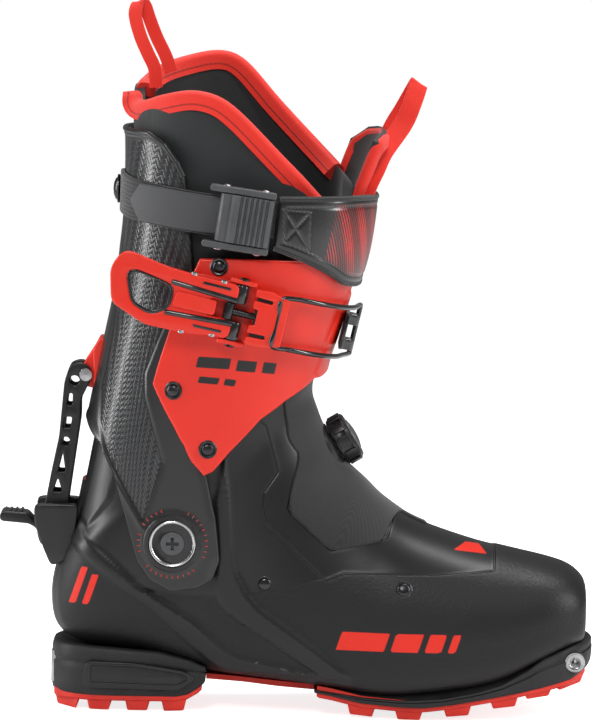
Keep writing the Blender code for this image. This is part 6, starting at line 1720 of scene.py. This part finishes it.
# ------------------------------------------------------------------ walk mode
@dataclass
class WalkMode:
    """Catch housing, walk lever, lock bar and its bracket.

    Attributes:
        lever_axis: pin of the walk lever.
        bar_hinge: pin of the lock bar.
    """
    lever_axis: tuple = (-139.8, 92.5)
    bar_hinge: tuple = (-119.0, 182.0)

    def build(self) -> None:
        """Build every piece of the walk mode."""
        x, z = self.lever_axis
        cheek = [(-136.2, 77), (-140.6, 87), (-145.4, 100), (-146.0, 109.8), (-143.0, 111.2), (-127.0, 111.4),
                 (-121.5, 111.0), (-123.0, 95), (-128.0, 80)]
        parts = [plate(cheek, *sorted((side * 13.4, side * 19.6)), Plane.SIDE, 0.9, radius=3.0)
                 for side in (OUTER, INNER)]
        sill = [(-132.4, 74), (-132.6, 80), (-132.4, 95.6), (-131.0, 96.4), (-127.0, 95.8), (-129.0, 80)]
        parts.append(plate(sill, -14.0, 14.0, Plane.SIDE, 0.6, radius=2.0))
        SHOP.make("catch_body", joined(*parts), BLACK, "lower_boot", ("catch_housing",))
        SHOP.dress("lever_pin", STEEL)
        lever = [(-164.6, 99.8), (-165.6, 102.6), (-164.0, 105.6), (-150.0, 104.7), (-146.5, 100.8),
                 (-142.0, 96.7), (x + 2.8, z + 3.9), (x + 4.0, z), (x + 2.0, z - 4.6), (x - 2.5, z - 5.6),
                 (x - 4.4, z - 1.0), (x - 5.0, z + 3.5), (-149.0, 98.6)]
        arm = plate(lever, -8.8, 8.8, Plane.SIDE, 0.9, [circle((x, z), 2.0, 24)], radius=1.8)
        grips = [plate([(-163.0 + k * 3.0, 103.8), (-161.6 + k * 3.0, 103.8), (-161.6 + k * 3.0, 106.0),
                        (-163.0 + k * 3.0, 106.0)], -7.4, 7.4, Plane.SIDE, 0.4, radius=0.6) for k in range(4)]
        SHOP.make("walk_lever_arm", joined(arm, *grips), BLACK, "walk_lever", ("walk_lever",))
        self.build_bar()

    def build_bar(self) -> None:
        """Perforated channel of two cheeks and a back web, with its pin heads and red bracket."""
        x, z = self.bar_hinge
        outer = [(-140.6, 108.5), (-137.2, 128.0), (-133.2, 148.0), (-130.8, 178.0), (-128.0, 187.0),
                 (-122.0, 189.0), (-117.0, 186.8), (-115.6, 182.0), (-117.0, 177.6), (-121.6, 168.0),
                 (-121.5, 158.0), (-127.0, 116.0), (-127.8, 108.5)]
        holes = [circle((-125.2, 178.6), 2.8, 28), circle((-129.6, 145.0), 2.4, 28), circle((x, z), 2.5, 28),
                 rounded([(-129.3, 165), (-126.2, 165), (-126.0, 171.5), (-128.2, 171.5)], 1.2),
                 rounded([(-131.3, 152.5), (-127.0, 152.5), (-126.2, 158.5), (-130.2, 158.5)], 1.2),
                 rounded([(-133.6, 128), (-129.4, 128), (-131.0, 139)], 1.0),
                 rounded([(-136.0, 117), (-131.0, 117), (-133.4, 124.5)], 1.0)]
        cheeks = [plate(outer, *sorted((side * 7.7, side * 10.5)), Plane.SIDE, 0.7, holes, radius=2.4)
                  for side in (OUTER, INNER)]
        back = [(-140.4, 109.2), (-137.0, 128.0), (-133.0, 148.0), (-130.6, 178.0), (-128.2, 185.6),
                (-126.6, 184.4), (-127.9, 178.0), (-130.4, 148.0), (-134.6, 128.0), (-138.2, 109.2)]
        web = plate(back, -8.2, 8.2, Plane.SIDE, 0.4, radius=1.0)
        SHOP.make("lock_bar_body", joined(*cheeks, web), BLACK, "lock_bar", ("lock_bar",))
        ends = []
        for side in (OUTER, INNER):
            ends.append(turned([(0, -0.4), (3.5, -0.4), (3.5, 0.7), (3.0, 1.3), (1.2, 1.4), (0.9, 0.9),
                                (0, 0.9)], (x, side * 10.9, z), (0, side, 0), 40))
        SHOP.make("lock_pin_heads", joined(*ends), STEEL, "cuff")
        SHOP.dress("lock_pin", STEEL)
        centre, depth, _ = CUFF_SKIN.section(np.array([174.0, 186.0, 199.0]))
        seat = [(float(c - d) + 1.0, h) for c, d, h in zip(centre, depth, (174.0, 186.0, 199.0))]
        block = [(-113.8, 198.6), (-120.2, 188.4), (-122.6, 180.5), (-119.4, 175.4), *seat]
        bore = circle((x, z), 2.4, 28)
        wide = plate(block, -7.2, 7.2, Plane.SIDE, 0.9, [bore], radius=2.0)
        foot = [(-110.5, 171.0), (-114.6, 176.0), (-115.2, 196.0), (-111.6, 203.0), (-107.0, 201.0),
                (-108.6, 172.0)]
        SHOP.make("bracket_block", joined(wide, plate(foot, -12.0, 12.0, Plane.SIDE, 0.9, radius=2.0)),
                  RED_PLASTIC, "cuff", ("lock_bracket",))


# ------------------------------------------------------------------ lace dial
@dataclass
class Dial:
    """Lace dial on the instep.

    Attributes:
        seat: centre of the seat.
        tilt: slope of its axis.
        grips: number of grip pads.
    """
    seat: tuple = (19.3, 0.0, 145.9)
    tilt: float = 31.0
    grips: int = 10

    def build(self) -> None:
        """Base, knob with grip pads and cap."""
        axis = np.array([math.cos(math.radians(self.tilt)), 0.0, math.sin(math.radians(self.tilt))])
        base = [(0, -10), (15.2, -10), (15.4, -2.4), (14.6, -1.6), (13.2, -1.2), (12.6, -0.5), (0, -0.4)]
        SHOP.make("dial_housing", turned(base, self.seat, axis, 72), BLACK, "lower_boot",
                  ("dial_base",))
        SHOP.dress("dial_spool", STEEL)
        knob = [(5.6, 0.2), (12.6, 0.2), (13.4, 0.8), (13.5, 2.0), (13.2, 2.4), (13.2, 7.6), (13.5, 8.0),
                (13.2, 9.4), (12.2, 10.2), (9.5, 10.2), (9.3, 9.6), (9.3, 8.6), (0, 8.6), (0, 2.4),
                (5.2, 2.4)]
        basis = Vector(axis).to_track_quat("Z", "Y").to_matrix().to_4x4()
        basis.translation = self.seat
        pads = []
        for number in range(self.grips):
            turn = Matrix.Rotation(2 * math.pi * number / self.grips, 4, "Z")
            angles = np.radians(np.linspace(-12, 12, 9))
            ring = np.stack([14.4 * np.cos(angles), 14.4 * np.sin(angles)], axis=1)
            inner = np.stack([12.8 * np.cos(angles[::-1]), 12.8 * np.sin(angles[::-1])], axis=1)
            pads.append(plate(np.concatenate([ring, inner]), 1.6, 8.8, Plane.PLAN, 0.5,
                              radius=0.8).moved(basis @ turn))
        SHOP.make("dial_knob_body", joined(turned(knob, self.seat, axis, 90), *pads), BLACK, "dial_knob",
                  ("dial_knob",))
        cap = [(0, 9.0), (9.0, 9.0), (9.1, 10.2), (8.6, 10.9), (6.8, 11.3), (6.4, 11.1), (5.9, 11.6),
               (3.0, 12.0), (0, 12.1)]
        SHOP.make("dial_cap_disc", turned(cap, self.seat, axis, 64), GREY, "dial_knob",
                  ("dial_cap",))


# ------------------------------------------------------------------ buckle
@dataclass
class Buckle:
    """Over-centre buckle on the outer side with its adjusting rod, comb block, bail and toothed catch.

    Attributes:
        hinge: hinge point.
        tilt: slope of the buckle's line.
        lever: outline of the lever in the buckle frame.
        window: outline of the finger window in the lever.
    """
    hinge: tuple = (-36.1, -63.2, 223.0)
    tilt: float = 12.4
    lever: list = drawn((-72.0, 7.9), (-68.6, 16.6), (-64.1, 19.5), (-42.3, 15.8), (-24.0, 15.0),
        (-1.6, 15.0), (-1.6, 4.8), (-17.0, 4.8), (-17.0, -4.8), (-1.6, -4.8), (-1.6, -15.0), (-10.5, -15.0),
        (-22.4, -17.0), (-47.2, -17.6), (-67.3, -10.0))
    window: list = drawn((-62.6, 7.0), (-59.3, 10.4), (-46.0, 8.4), (-36.8, 6.4), (-35.6, 0.0),
        (-36.8, -6.6), (-45.5, -11.6), (-56.6, -7.8))

    def frame(self) -> Matrix:
        """Buckle frame: x forward along the tilted line, y inward, z up along the cuff."""
        return Matrix.Translation(self.hinge) @ Matrix.Rotation(math.radians(self.tilt), 4, "Y")

    def put(self, name: str, shape: Shape, finish: Finish, body: str,
            replaces: tuple[str, ...] = ()) -> None:
        """Make a piece drawn in the buckle frame."""
        SHOP.make(name, shape.moved(self.frame()), finish, body, replaces)

    def build(self) -> None:
        """Build the base, lever, link, bail and catch."""
        seat = [(-32, -12), (-24, -15.6), (9, -15.6), (9, 15.6), (-24, 15.6), (-32, 12)]
        base = [plate(seat, 4.1, 5.8, Plane.SIDE, 0.5, radius=3.0)]
        for side in (OUTER, INNER):
            low, high = sorted((side * 15.5, side * 17.9))
            base.append(plate([(-7.4, -2.5), (7.4, -2.5), (7.8, 5.6), (-7.8, 5.6)], low, high, Plane.PLAN,
                              0.5, radius=2.4))
        self.put("buckle_seat", joined(*base), RED_PLASTIC, "cuff", ("buckle_base",))
        pins = [cylinder((0, 0, side * 5.2), (0, 0, side * 18.4), 1.5) for side in (OUTER, INNER)]
        pins += [turned([(0, -0.3), (2.8, -0.3), (2.8, 0.6), (2.0, 1.1), (0, 1.2)], (0, 0, side * 18.0),
                        (0, 0, side), 36) for side in (OUTER, INNER)]
        self.put("buckle_hinge_pins", joined(*pins), DARK_METAL, "cuff")
        frame_plate = plate(self.lever, -4.2, -1.0, Plane.SIDE, 1.0, [rounded(self.window, 4.0)[::-1]],
                            radius=4.2)
        tongue = plate([(-34.6, -4.2), (-34.0, 4.2), (-12.0, 4.0), (-12.0, -4.0)], -5.8, -4.1, Plane.SIDE,
                       0.5, radius=1.6)
        self.put("lever_frame", joined(frame_plate, tongue), RED_PLASTIC, "buckle_lever",
                 ("buckle_lever",))
        arms = [cylinder((0, 0, side * 5.1), (0, 0, side * 14.9), 3.7, 0.6, 44) for side in (OUTER, INNER)]
        arms += [cylinder((-38.0, -3.4, side * 8.4), (-1.0, -3.6, side * 6.3), 1.6, 0.5)
                 for side in (OUTER, INNER)]
        arms += [plate([(-22.0, side * 11.2), (-21.0, side * 12.6), (-6.0, side * 12.4), (-6.0, side * 11.0)],
                       -4.6, -3.8, Plane.SIDE, 0.25, radius=0.5) for side in (OUTER, INNER)]
        lining = np.array(rounded(self.window, 4.0))
        arms.append(plate(lining + (lining - lining.mean(axis=0)) * 0.02, -4.5, -1.4, Plane.SIDE, 0.4,
                          [lining - (lining - lining.mean(axis=0)) * 0.12], radius=0))
        arms.append(cylinder((-4.8, -1.0, -8.0), (-4.8, -1.0, 8.0), 1.2))
        self.put("lever_arms", joined(*arms), GLOSS_BLACK, "buckle_lever")
        heads = [dome_head((x, -2.6, side * z), (0, 0, side), 2.0, 1.0) for side in (OUTER, INNER)
                 for x, z in ((-27.0, 15.4 if side > 0 else 16.9), (-10.5, 14.9))]
        self.put("lever_rivets", joined(*heads), STEEL, "buckle_lever")
        self.build_link()
        self.build_bail()

    def build_link(self) -> None:
        """Threaded rod with its eye, and the comb block with slots."""
        turns = np.linspace(0.0, 1.0, 160)
        ridge = 2.0 - 0.28 * (np.abs((turns * 17.0) % 1.0 - 0.5) * 2.0)
        thread = np.stack([np.concatenate([[0.0], ridge, [0.0]]),
                           np.concatenate([[0.0], turns * 20.4, [20.4]])], axis=1)
        rod = turned(thread, (-2.6, -1.0, 0.0), (1, 0, 0), 32)
        eye = plate(circle((-4.8, -1.0), 2.9, 36), -4.4, 4.4, Plane.PLAN, 0.4,
                    [circle((-4.8, -1.0), 1.5, 24)], radius=0)
        self.put("buckle_screw", joined(rod, eye), DARK_METAL, "buckle_link", ("buckle_rod",))
        upper = [(16.0, 15.4), (7.5, 15.0), (7.5, 11.0), (17.5, 10.6), (17.5, 8.6), (7.5, 8.8), (7.5, 4.6),
                 (10.5, 4.2)]
        outline = [(26.5, -12.6), (26.5, 12.6)] + upper + [(x, -z) for x, z in upper[::-1]]
        block = plate(outline, -4.6, 2.0, Plane.SIDE, 0.7, radius=0.9)
        dark = plate([(9.0, -12.6), (22.0, -11.6), (22.0, 11.6), (9.0, 12.6)], -2.2, 1.4, Plane.SIDE, 0.3,
                     radius=1.0)
        self.put("comb_block", block, RED_PLASTIC, "buckle_link", ("wire_block",))
        self.put("comb_core", dark, BLACK, "buckle_link")

    def bail_side(self, level: float) -> Array:
        """One side wire round the cuff, at one level of the buckle frame."""
        turn = np.linspace(62.0, 12.0, 18)
        offset = np.interp(turn, [12, 22, 32, 42, 52, 62], [9.8, 10.2, 10.4, 10.2, 9.6, 8.6])
        z = np.full_like(turn, self.hinge[2] - 4.0)
        tilt = math.radians(self.tilt)
        for _ in range(4):
            points = CUFF_SKIN.points(turn, z, offset)
            z = self.hinge[2] + (level - (points[:, 0] - self.hinge[0]) * math.sin(tilt)) / math.cos(tilt)
        return CUFF_SKIN.points(turn, z, offset)

    def build_bail(self) -> None:
        """Closed wire: a pin through the block, two side wires and the front bar; and the toothed catch."""
        place = np.array(self.frame())

        def world(point: tuple[float, float, float]) -> Array:
            """Point of the buckle frame in the design frame."""
            return place[:3, :3] @ np.array(point) + place[:3, 3]

        top, low = self.bail_side(14.0), self.bail_side(-14.0)
        bar = [world((65.6, 65.2, level)) for level in (12.4, 4.0, -4.0, -12.4)]
        pin = [world((22.0, -3.4, level)) for level in (-12.8, -4.0, 4.0, 12.8)]
        path = np.concatenate([top, [world((65.2, 63.8, 13.8))], bar, [world((65.2, 63.8, -13.8))], low[::-1],
                               pin])
        path = smooth_line(np.concatenate([path, path[:1]]), 260)[:-1]
        SHOP.make("bail_wire", wire(path, 1.45, True), GLOSS_BLACK, "wire_bail", ("wire_bail",))
        base, tip = 58.3, 66.4
        teeth = [(base, 38.0), (base + 2.2, 38.0)]
        for start in (41.0, 48.4):
            teeth += [(base + 2.2, start), (tip - 1.5, start + 2.2), (tip, start + 4.6),
                      (tip - 1.0, start + 5.4), (base + 2.2, start + 5.0)]
        teeth += [(base + 2.2, 70.0), (base, 70.0)]
        halves = [plate(teeth, *sorted((side * 3.9, side * 10.0)), Plane.PLAN, 0.5, radius=0.9)
                  for side in (OUTER, INNER)]
        spine = plate([(base, 38.0), (base + 2.4, 38.0), (base + 2.4, 70.0), (base, 70.0)], -9.0, 9.0,
                      Plane.PLAN, 0.4, radius=0.8)
        self.put("catch_teeth", joined(*halves, spine), GLOSS_BLACK, "cuff", ("buckle_catch",))


# ------------------------------------------------------------------ power strap
@dataclass
class PowerStrap:
    """Webbing strap with a folded tail, cam buckle, printed pad and rear rivet.

    Attributes:
        centre: middle of the cam buckle.
        tilt: slope of the strap at the buckle.
    """
    centre: tuple = (-36.0, -57.6, 273.0)
    tilt: float = 8.0

    def build(self) -> None:
        """Build band, tail, pad, frame, cam and rivet."""
        start = float(CUFF_SKIN.turn_at(-22.0, 280.0))
        top = [(start, 282.0), (90.0, 284.5), (130.0, 290.0), (180.0, 295.0), (230.0, 291.0), (270.0, 286.0),
               (360.0 - start, 283.0)]
        low = [(turn, z - 22.0) for turn, z in top]
        outward = np.array([1.0, 1.0, 0.0])
        band = CUFF_SKIN.patch((low, top, [low[0], top[0]], [low[-1], top[-1]]), 2.4, (240, 34), 1.2,
                               (280.0, 22.0))
        SHOP.make("strap_webbing", slab(band, 2.0, (band - band.mean(axis=(0, 1))) * outward,
                                        edge_drop(band, 0.8)), BLACK_WEBBING, "cuff",
                                        ("strap_band",))
        tip = np.linspace(0, 1, 90)[None, :]
        share = np.linspace(-1, 1, 31)[:, None]
        blunt = 9.5 * np.abs(share) ** 1.1
        turn = 79.0 + (150.0 - 79.0) * tip - blunt * tip
        middle = np.interp(turn, [79, 90, 130, 180], [272.6, 273.6, 279.0, 283.0])
        tail = CUFF_SKIN.points(turn, middle + share * 10.0, 3.9)
        SHOP.make("strap_tail", slab(tail, 1.3, (tail - tail.mean(axis=(0, 1))) * outward,
                                     edge_drop(tail, 0.6)), GREY_WEBBING, "cuff")
        self.build_pad()
        self.build_cam()
        spot = CUFF_SKIN.points(180.0, 284.0, 2.4).reshape(3)
        rivet = [(0, -3.0), (2.0, -3.0), (7.6, 0.2), (8.0, 1.0), (7.6, 1.6), (6.2, 1.8), (5.7, 2.6),
                 (3.2, 3.6), (0, 3.9)]
        SHOP.make("strap_rivet_head", turned(rivet, spot, (-1, 0, 0), 52), DARK_METAL, "cuff",
                  ("strap_rivet",))

    def build_pad(self) -> None:
        """Pad round the shin with a piped rim, a sewn box and a printed field."""
        side = float(CUFF_SKIN.turn_at(-17.0, 275.0))
        top = [(side, 284.0), (30.0, 284.0), (0.0, 283.0), (-30.0, 283.0), (-side, 281.0)]
        low = [(side, 258.0), (46.0, 243.5), (30.0, 237.6), (0.0, 236.8), (-30.0, 244.0), (-side, 258.0)]
        low_line = [(float(t), float(z)) for t, z in smooth_line(low, 40)]
        points = CUFF_SKIN.patch((low_line, top, [low[0], top[0]], [low[-1], top[-1]]), 7.0, (200, 70), 2.2,
                                 (160.0, 40.0))
        columns, rows = points.shape[1], points.shape[0]
        u, v = np.linspace(0, 1, columns)[None], np.linspace(0, 1, rows)[:, None]
        crown = 0.9 * (np.sin(math.pi * v) ** 0.5) * np.ones_like(u)
        flat = points[..., [0, 2]].reshape(-1, 2)
        near = (points[..., 1] < 12.0).ravel()
        box = [(-12.5, 278.5), (2.0, 277.0), (2.0, 256.5), (-12.5, 260.5)]
        lines = [box + box[:1], [box[0], box[2]], [box[1], box[3]]]
        hem = np.abs(edge_distance(points) - 4.4).ravel()
        sewn = np.minimum(np.minimum.reduce([line_distance(flat, line) for line in lines])
                          + np.where(near, 0.0, 50.0), hem)
        printed = depth_in(flat, [(16.0, 281.0), (60.0, 281.0), (60.0, 236.0), (26.0, 240.0), (10.0, 252.0)])
        printed = np.where((points[..., 1] < 22.0).ravel(), printed, -5.0)
        relief = crown + edge_drop(points, 1.4) - 0.35 * np.exp(-(sewn / 0.8) ** 2).reshape(points.shape[:2])
        outward = (points - np.array([-20.0, 0.0, 0.0])) * np.array([1.0, 1.0, 0.0])
        shape = slab(points, 3.0, outward, relief, {"sewn": sewn, "print": printed})
        piece = SHOP.make("shin_pad", shape, FILM, "cuff", ("strap_pad",), sharp=60.0)
        for name, edge in (("top", points[-1]), ("low", points[0])):
            normal = (edge - np.array([-20.0, 0.0, 0.0])) * np.array([1.0, 1.0, 0.0])
            normal /= np.linalg.norm(normal, axis=1, keepdims=True)
            SHOP.make(f"pad_piping_{name}", wire(edge - normal * 0.9, 1.7), BLACK_WEBBING, "cuff")

    def build_cam(self) -> None:
        """Open frame with rivets and the ribbed cam block."""
        place = Matrix.Translation(self.centre) @ Matrix.Rotation(math.radians(self.tilt), 4, "Y")
        bars = [plate([(-18, low), (18, low), (18, low + 3.6), (-18, low + 3.6)], -8.0, -0.3, Plane.SIDE, 0.7,
                      radius=1.6) for low in (-17.0, 13.4)]
        bars.append(plate([(12, -15), (18, -15), (18, 15), (12, 15)], -2.2, -0.3, Plane.SIDE, 0.4,
                          radius=1.0))
        SHOP.make("cam_frame", joined(*bars).moved(place), GREY, "cuff", ("strap_frame",))
        heads = [dome_head((x, -5.0, side * 17.0), (0, 0, side), 2.2, 1.0) for side in (OUTER, INNER)
                 for x in (-9.0, 12.0)]
        SHOP.make("cam_frame_rivets", joined(*heads).moved(place), STEEL, "cuff")
        x, y = -8.0, -4.6
        turn = np.radians(np.arange(60, 301, 12))
        profile = [(x + 3.7 * math.cos(a), y + 3.7 * math.sin(a)) for a in turn] + [(-4.0, -9.2)]
        for rib in range(6):
            start = -1.0 + rib * 2.8
            profile += [(start, -9.2), (start + 0.35, -7.9), (start + 1.35, -7.9), (start + 1.7, -9.2)]
        profile += [(17.2, -8.6), (17.4, -3.2), (11.0, -2.7), (-3.0, -1.6)]
        block = plate(profile, -12.9, 12.9, Plane.PLAN, 0.35, radius=0.35)
        SHOP.make("cam_block", block.moved(place), GREY, "strap_cam", ("strap_cam",))


# ------------------------------------------------------------------ studio
@dataclass
class Studio:
    """Pale floor, white world, soft boxes and the camera.

    Attributes:
        distance: camera to object, metres.
        lens: focal length for a 36 mm sensor.
        roll: turn of the view about its own axis, degrees.
        elevation: height of the view, degrees.
        fill: strength of the even light from all round.
    """
    distance: float = 2.8
    lens: float = 254.5
    roll: float = 1.2
    elevation: float = 6.0
    fill: float = 0.20

    def soft_box(self, name: str, place: tuple, size: tuple[float, float], power: float,
                 target: tuple = (0, 0, 0.17)) -> None:
        """Rectangular area light aimed at a point."""
        light = bpy.data.lights.new(name, "AREA")
        light.shape, light.size, light.size_y, light.energy = "RECTANGLE", size[0], size[1], power
        lamp = bpy.data.objects.new(name, light)
        lamp.location = place
        lamp.rotation_euler = (Vector(target) - Vector(place)).to_track_quat("-Z", "Y").to_euler()
        bpy.context.scene.collection.objects.link(lamp)

    def build_floor(self) -> None:
        """Pale floor with a faint mottle."""
        across = np.linspace(-3.0, 3.0, 25)
        x, y = np.meshgrid(across, across)
        points = np.stack([x, y, np.full_like(x, -0.0004)], axis=-1).reshape(-1, 3)
        mesh = bpy.data.meshes.new("floor")
        mesh.from_pydata(points.tolist(), [], grid_faces(25, 25))
        floor = bpy.data.objects.new("floor", mesh)
        bpy.context.scene.collection.objects.link(floor)
        n = Nodes("floor_paint")
        seen = n.node("LightPath").outputs["Is Camera Ray"]
        tone = n.blend(rgb(0.93, 0.93, 0.93), rgb(0.96, 0.96, 0.96), n.noise(n.place(), 3.0))
        mesh.materials.append(n.finish(Base_Color=tone, Roughness=0.9, Emission_Color=rgb(1, 1, 1),
                                       Emission_Strength=n.sum("MULTIPLY", seen, 0.8)))

    def build(self) -> None:
        """Lights, world, floor and camera."""
        scene = bpy.context.scene
        world = bpy.data.worlds.new("studio")
        world.use_nodes = True
        tree = world.node_tree
        shade, seen = tree.nodes.new("ShaderNodeMix"), tree.nodes.new("ShaderNodeLightPath")
        shade.inputs[2].default_value, shade.inputs[3].default_value = self.fill, 1.0
        tree.links.new(seen.outputs["Is Camera Ray"], shade.inputs["Factor"])
        tree.links.new(shade.outputs[0], tree.nodes["Background"].inputs["Strength"])
        tree.nodes["Background"].inputs["Color"].default_value = rgb(1.0, 1.0, 1.0)
        scene.world = world
        scene.view_settings.view_transform = "Standard"
        self.build_floor()
        self.soft_box("key", (-0.3, -1.3, 1.2), (0.45, 0.45), 9.5)
        self.soft_box("front", (1.2, -0.5, 0.75), (0.22, 1.0), 11.0)
        self.soft_box("back", (-1.25, -0.1, 0.55), (0.20, 1.0), 10.0)
        self.soft_box("top", (0.15, 0.3, 1.5), (1.1, 0.35), 13.0)
        data = bpy.data.cameras.new("camera")
        data.lens, data.sensor_width, data.clip_end = self.lens, 36.0, 20.0
        camera = bpy.data.objects.new("camera", data)
        target = Vector((np.array([-4.0, 0.0, 191.4]) + SHIFT) * MM)
        lift = math.radians(self.elevation)
        camera.location = target + Vector((0, -math.cos(lift), math.sin(lift))) * self.distance
        aim = (target - camera.location).to_track_quat("-Z", "Y").to_matrix()
        camera.rotation_euler = (aim @ Matrix.Rotation(math.radians(self.roll), 3, "Z")).to_euler()
        scene.collection.objects.link(camera)
        scene.camera = camera


def main() -> None:
    """Build the sub-assemblies in order."""
    logging.basicConfig(level=logging.INFO, format="%(name)s %(message)s")
    Studio().build()
    shell = LowerShell()
    for step in (shell.build_shell, shell.build_rivets, shell.build_gaiter, shell.build_inside):
        step()
    sole = Sole()
    sole.build_rims()
    sole.build_fittings()
    WalkMode().build()
    cuff = Cuff()
    for step in (cuff.build_rear, cuff.build_flaps, cuff.build_rivets, cuff.build_pivots):
        step()
    liner = Liner()
    for step in (liner.build_shaft, liner.build_foot, liner.build_bindings, liner.build_tongue,
                 liner.build_loops):
        step()
    Dial().build()
    Buckle().build()
    PowerStrap().build()
    LOG.info("%d pieces made", SHOP.count)


if __name__ == "__main__":
    main()
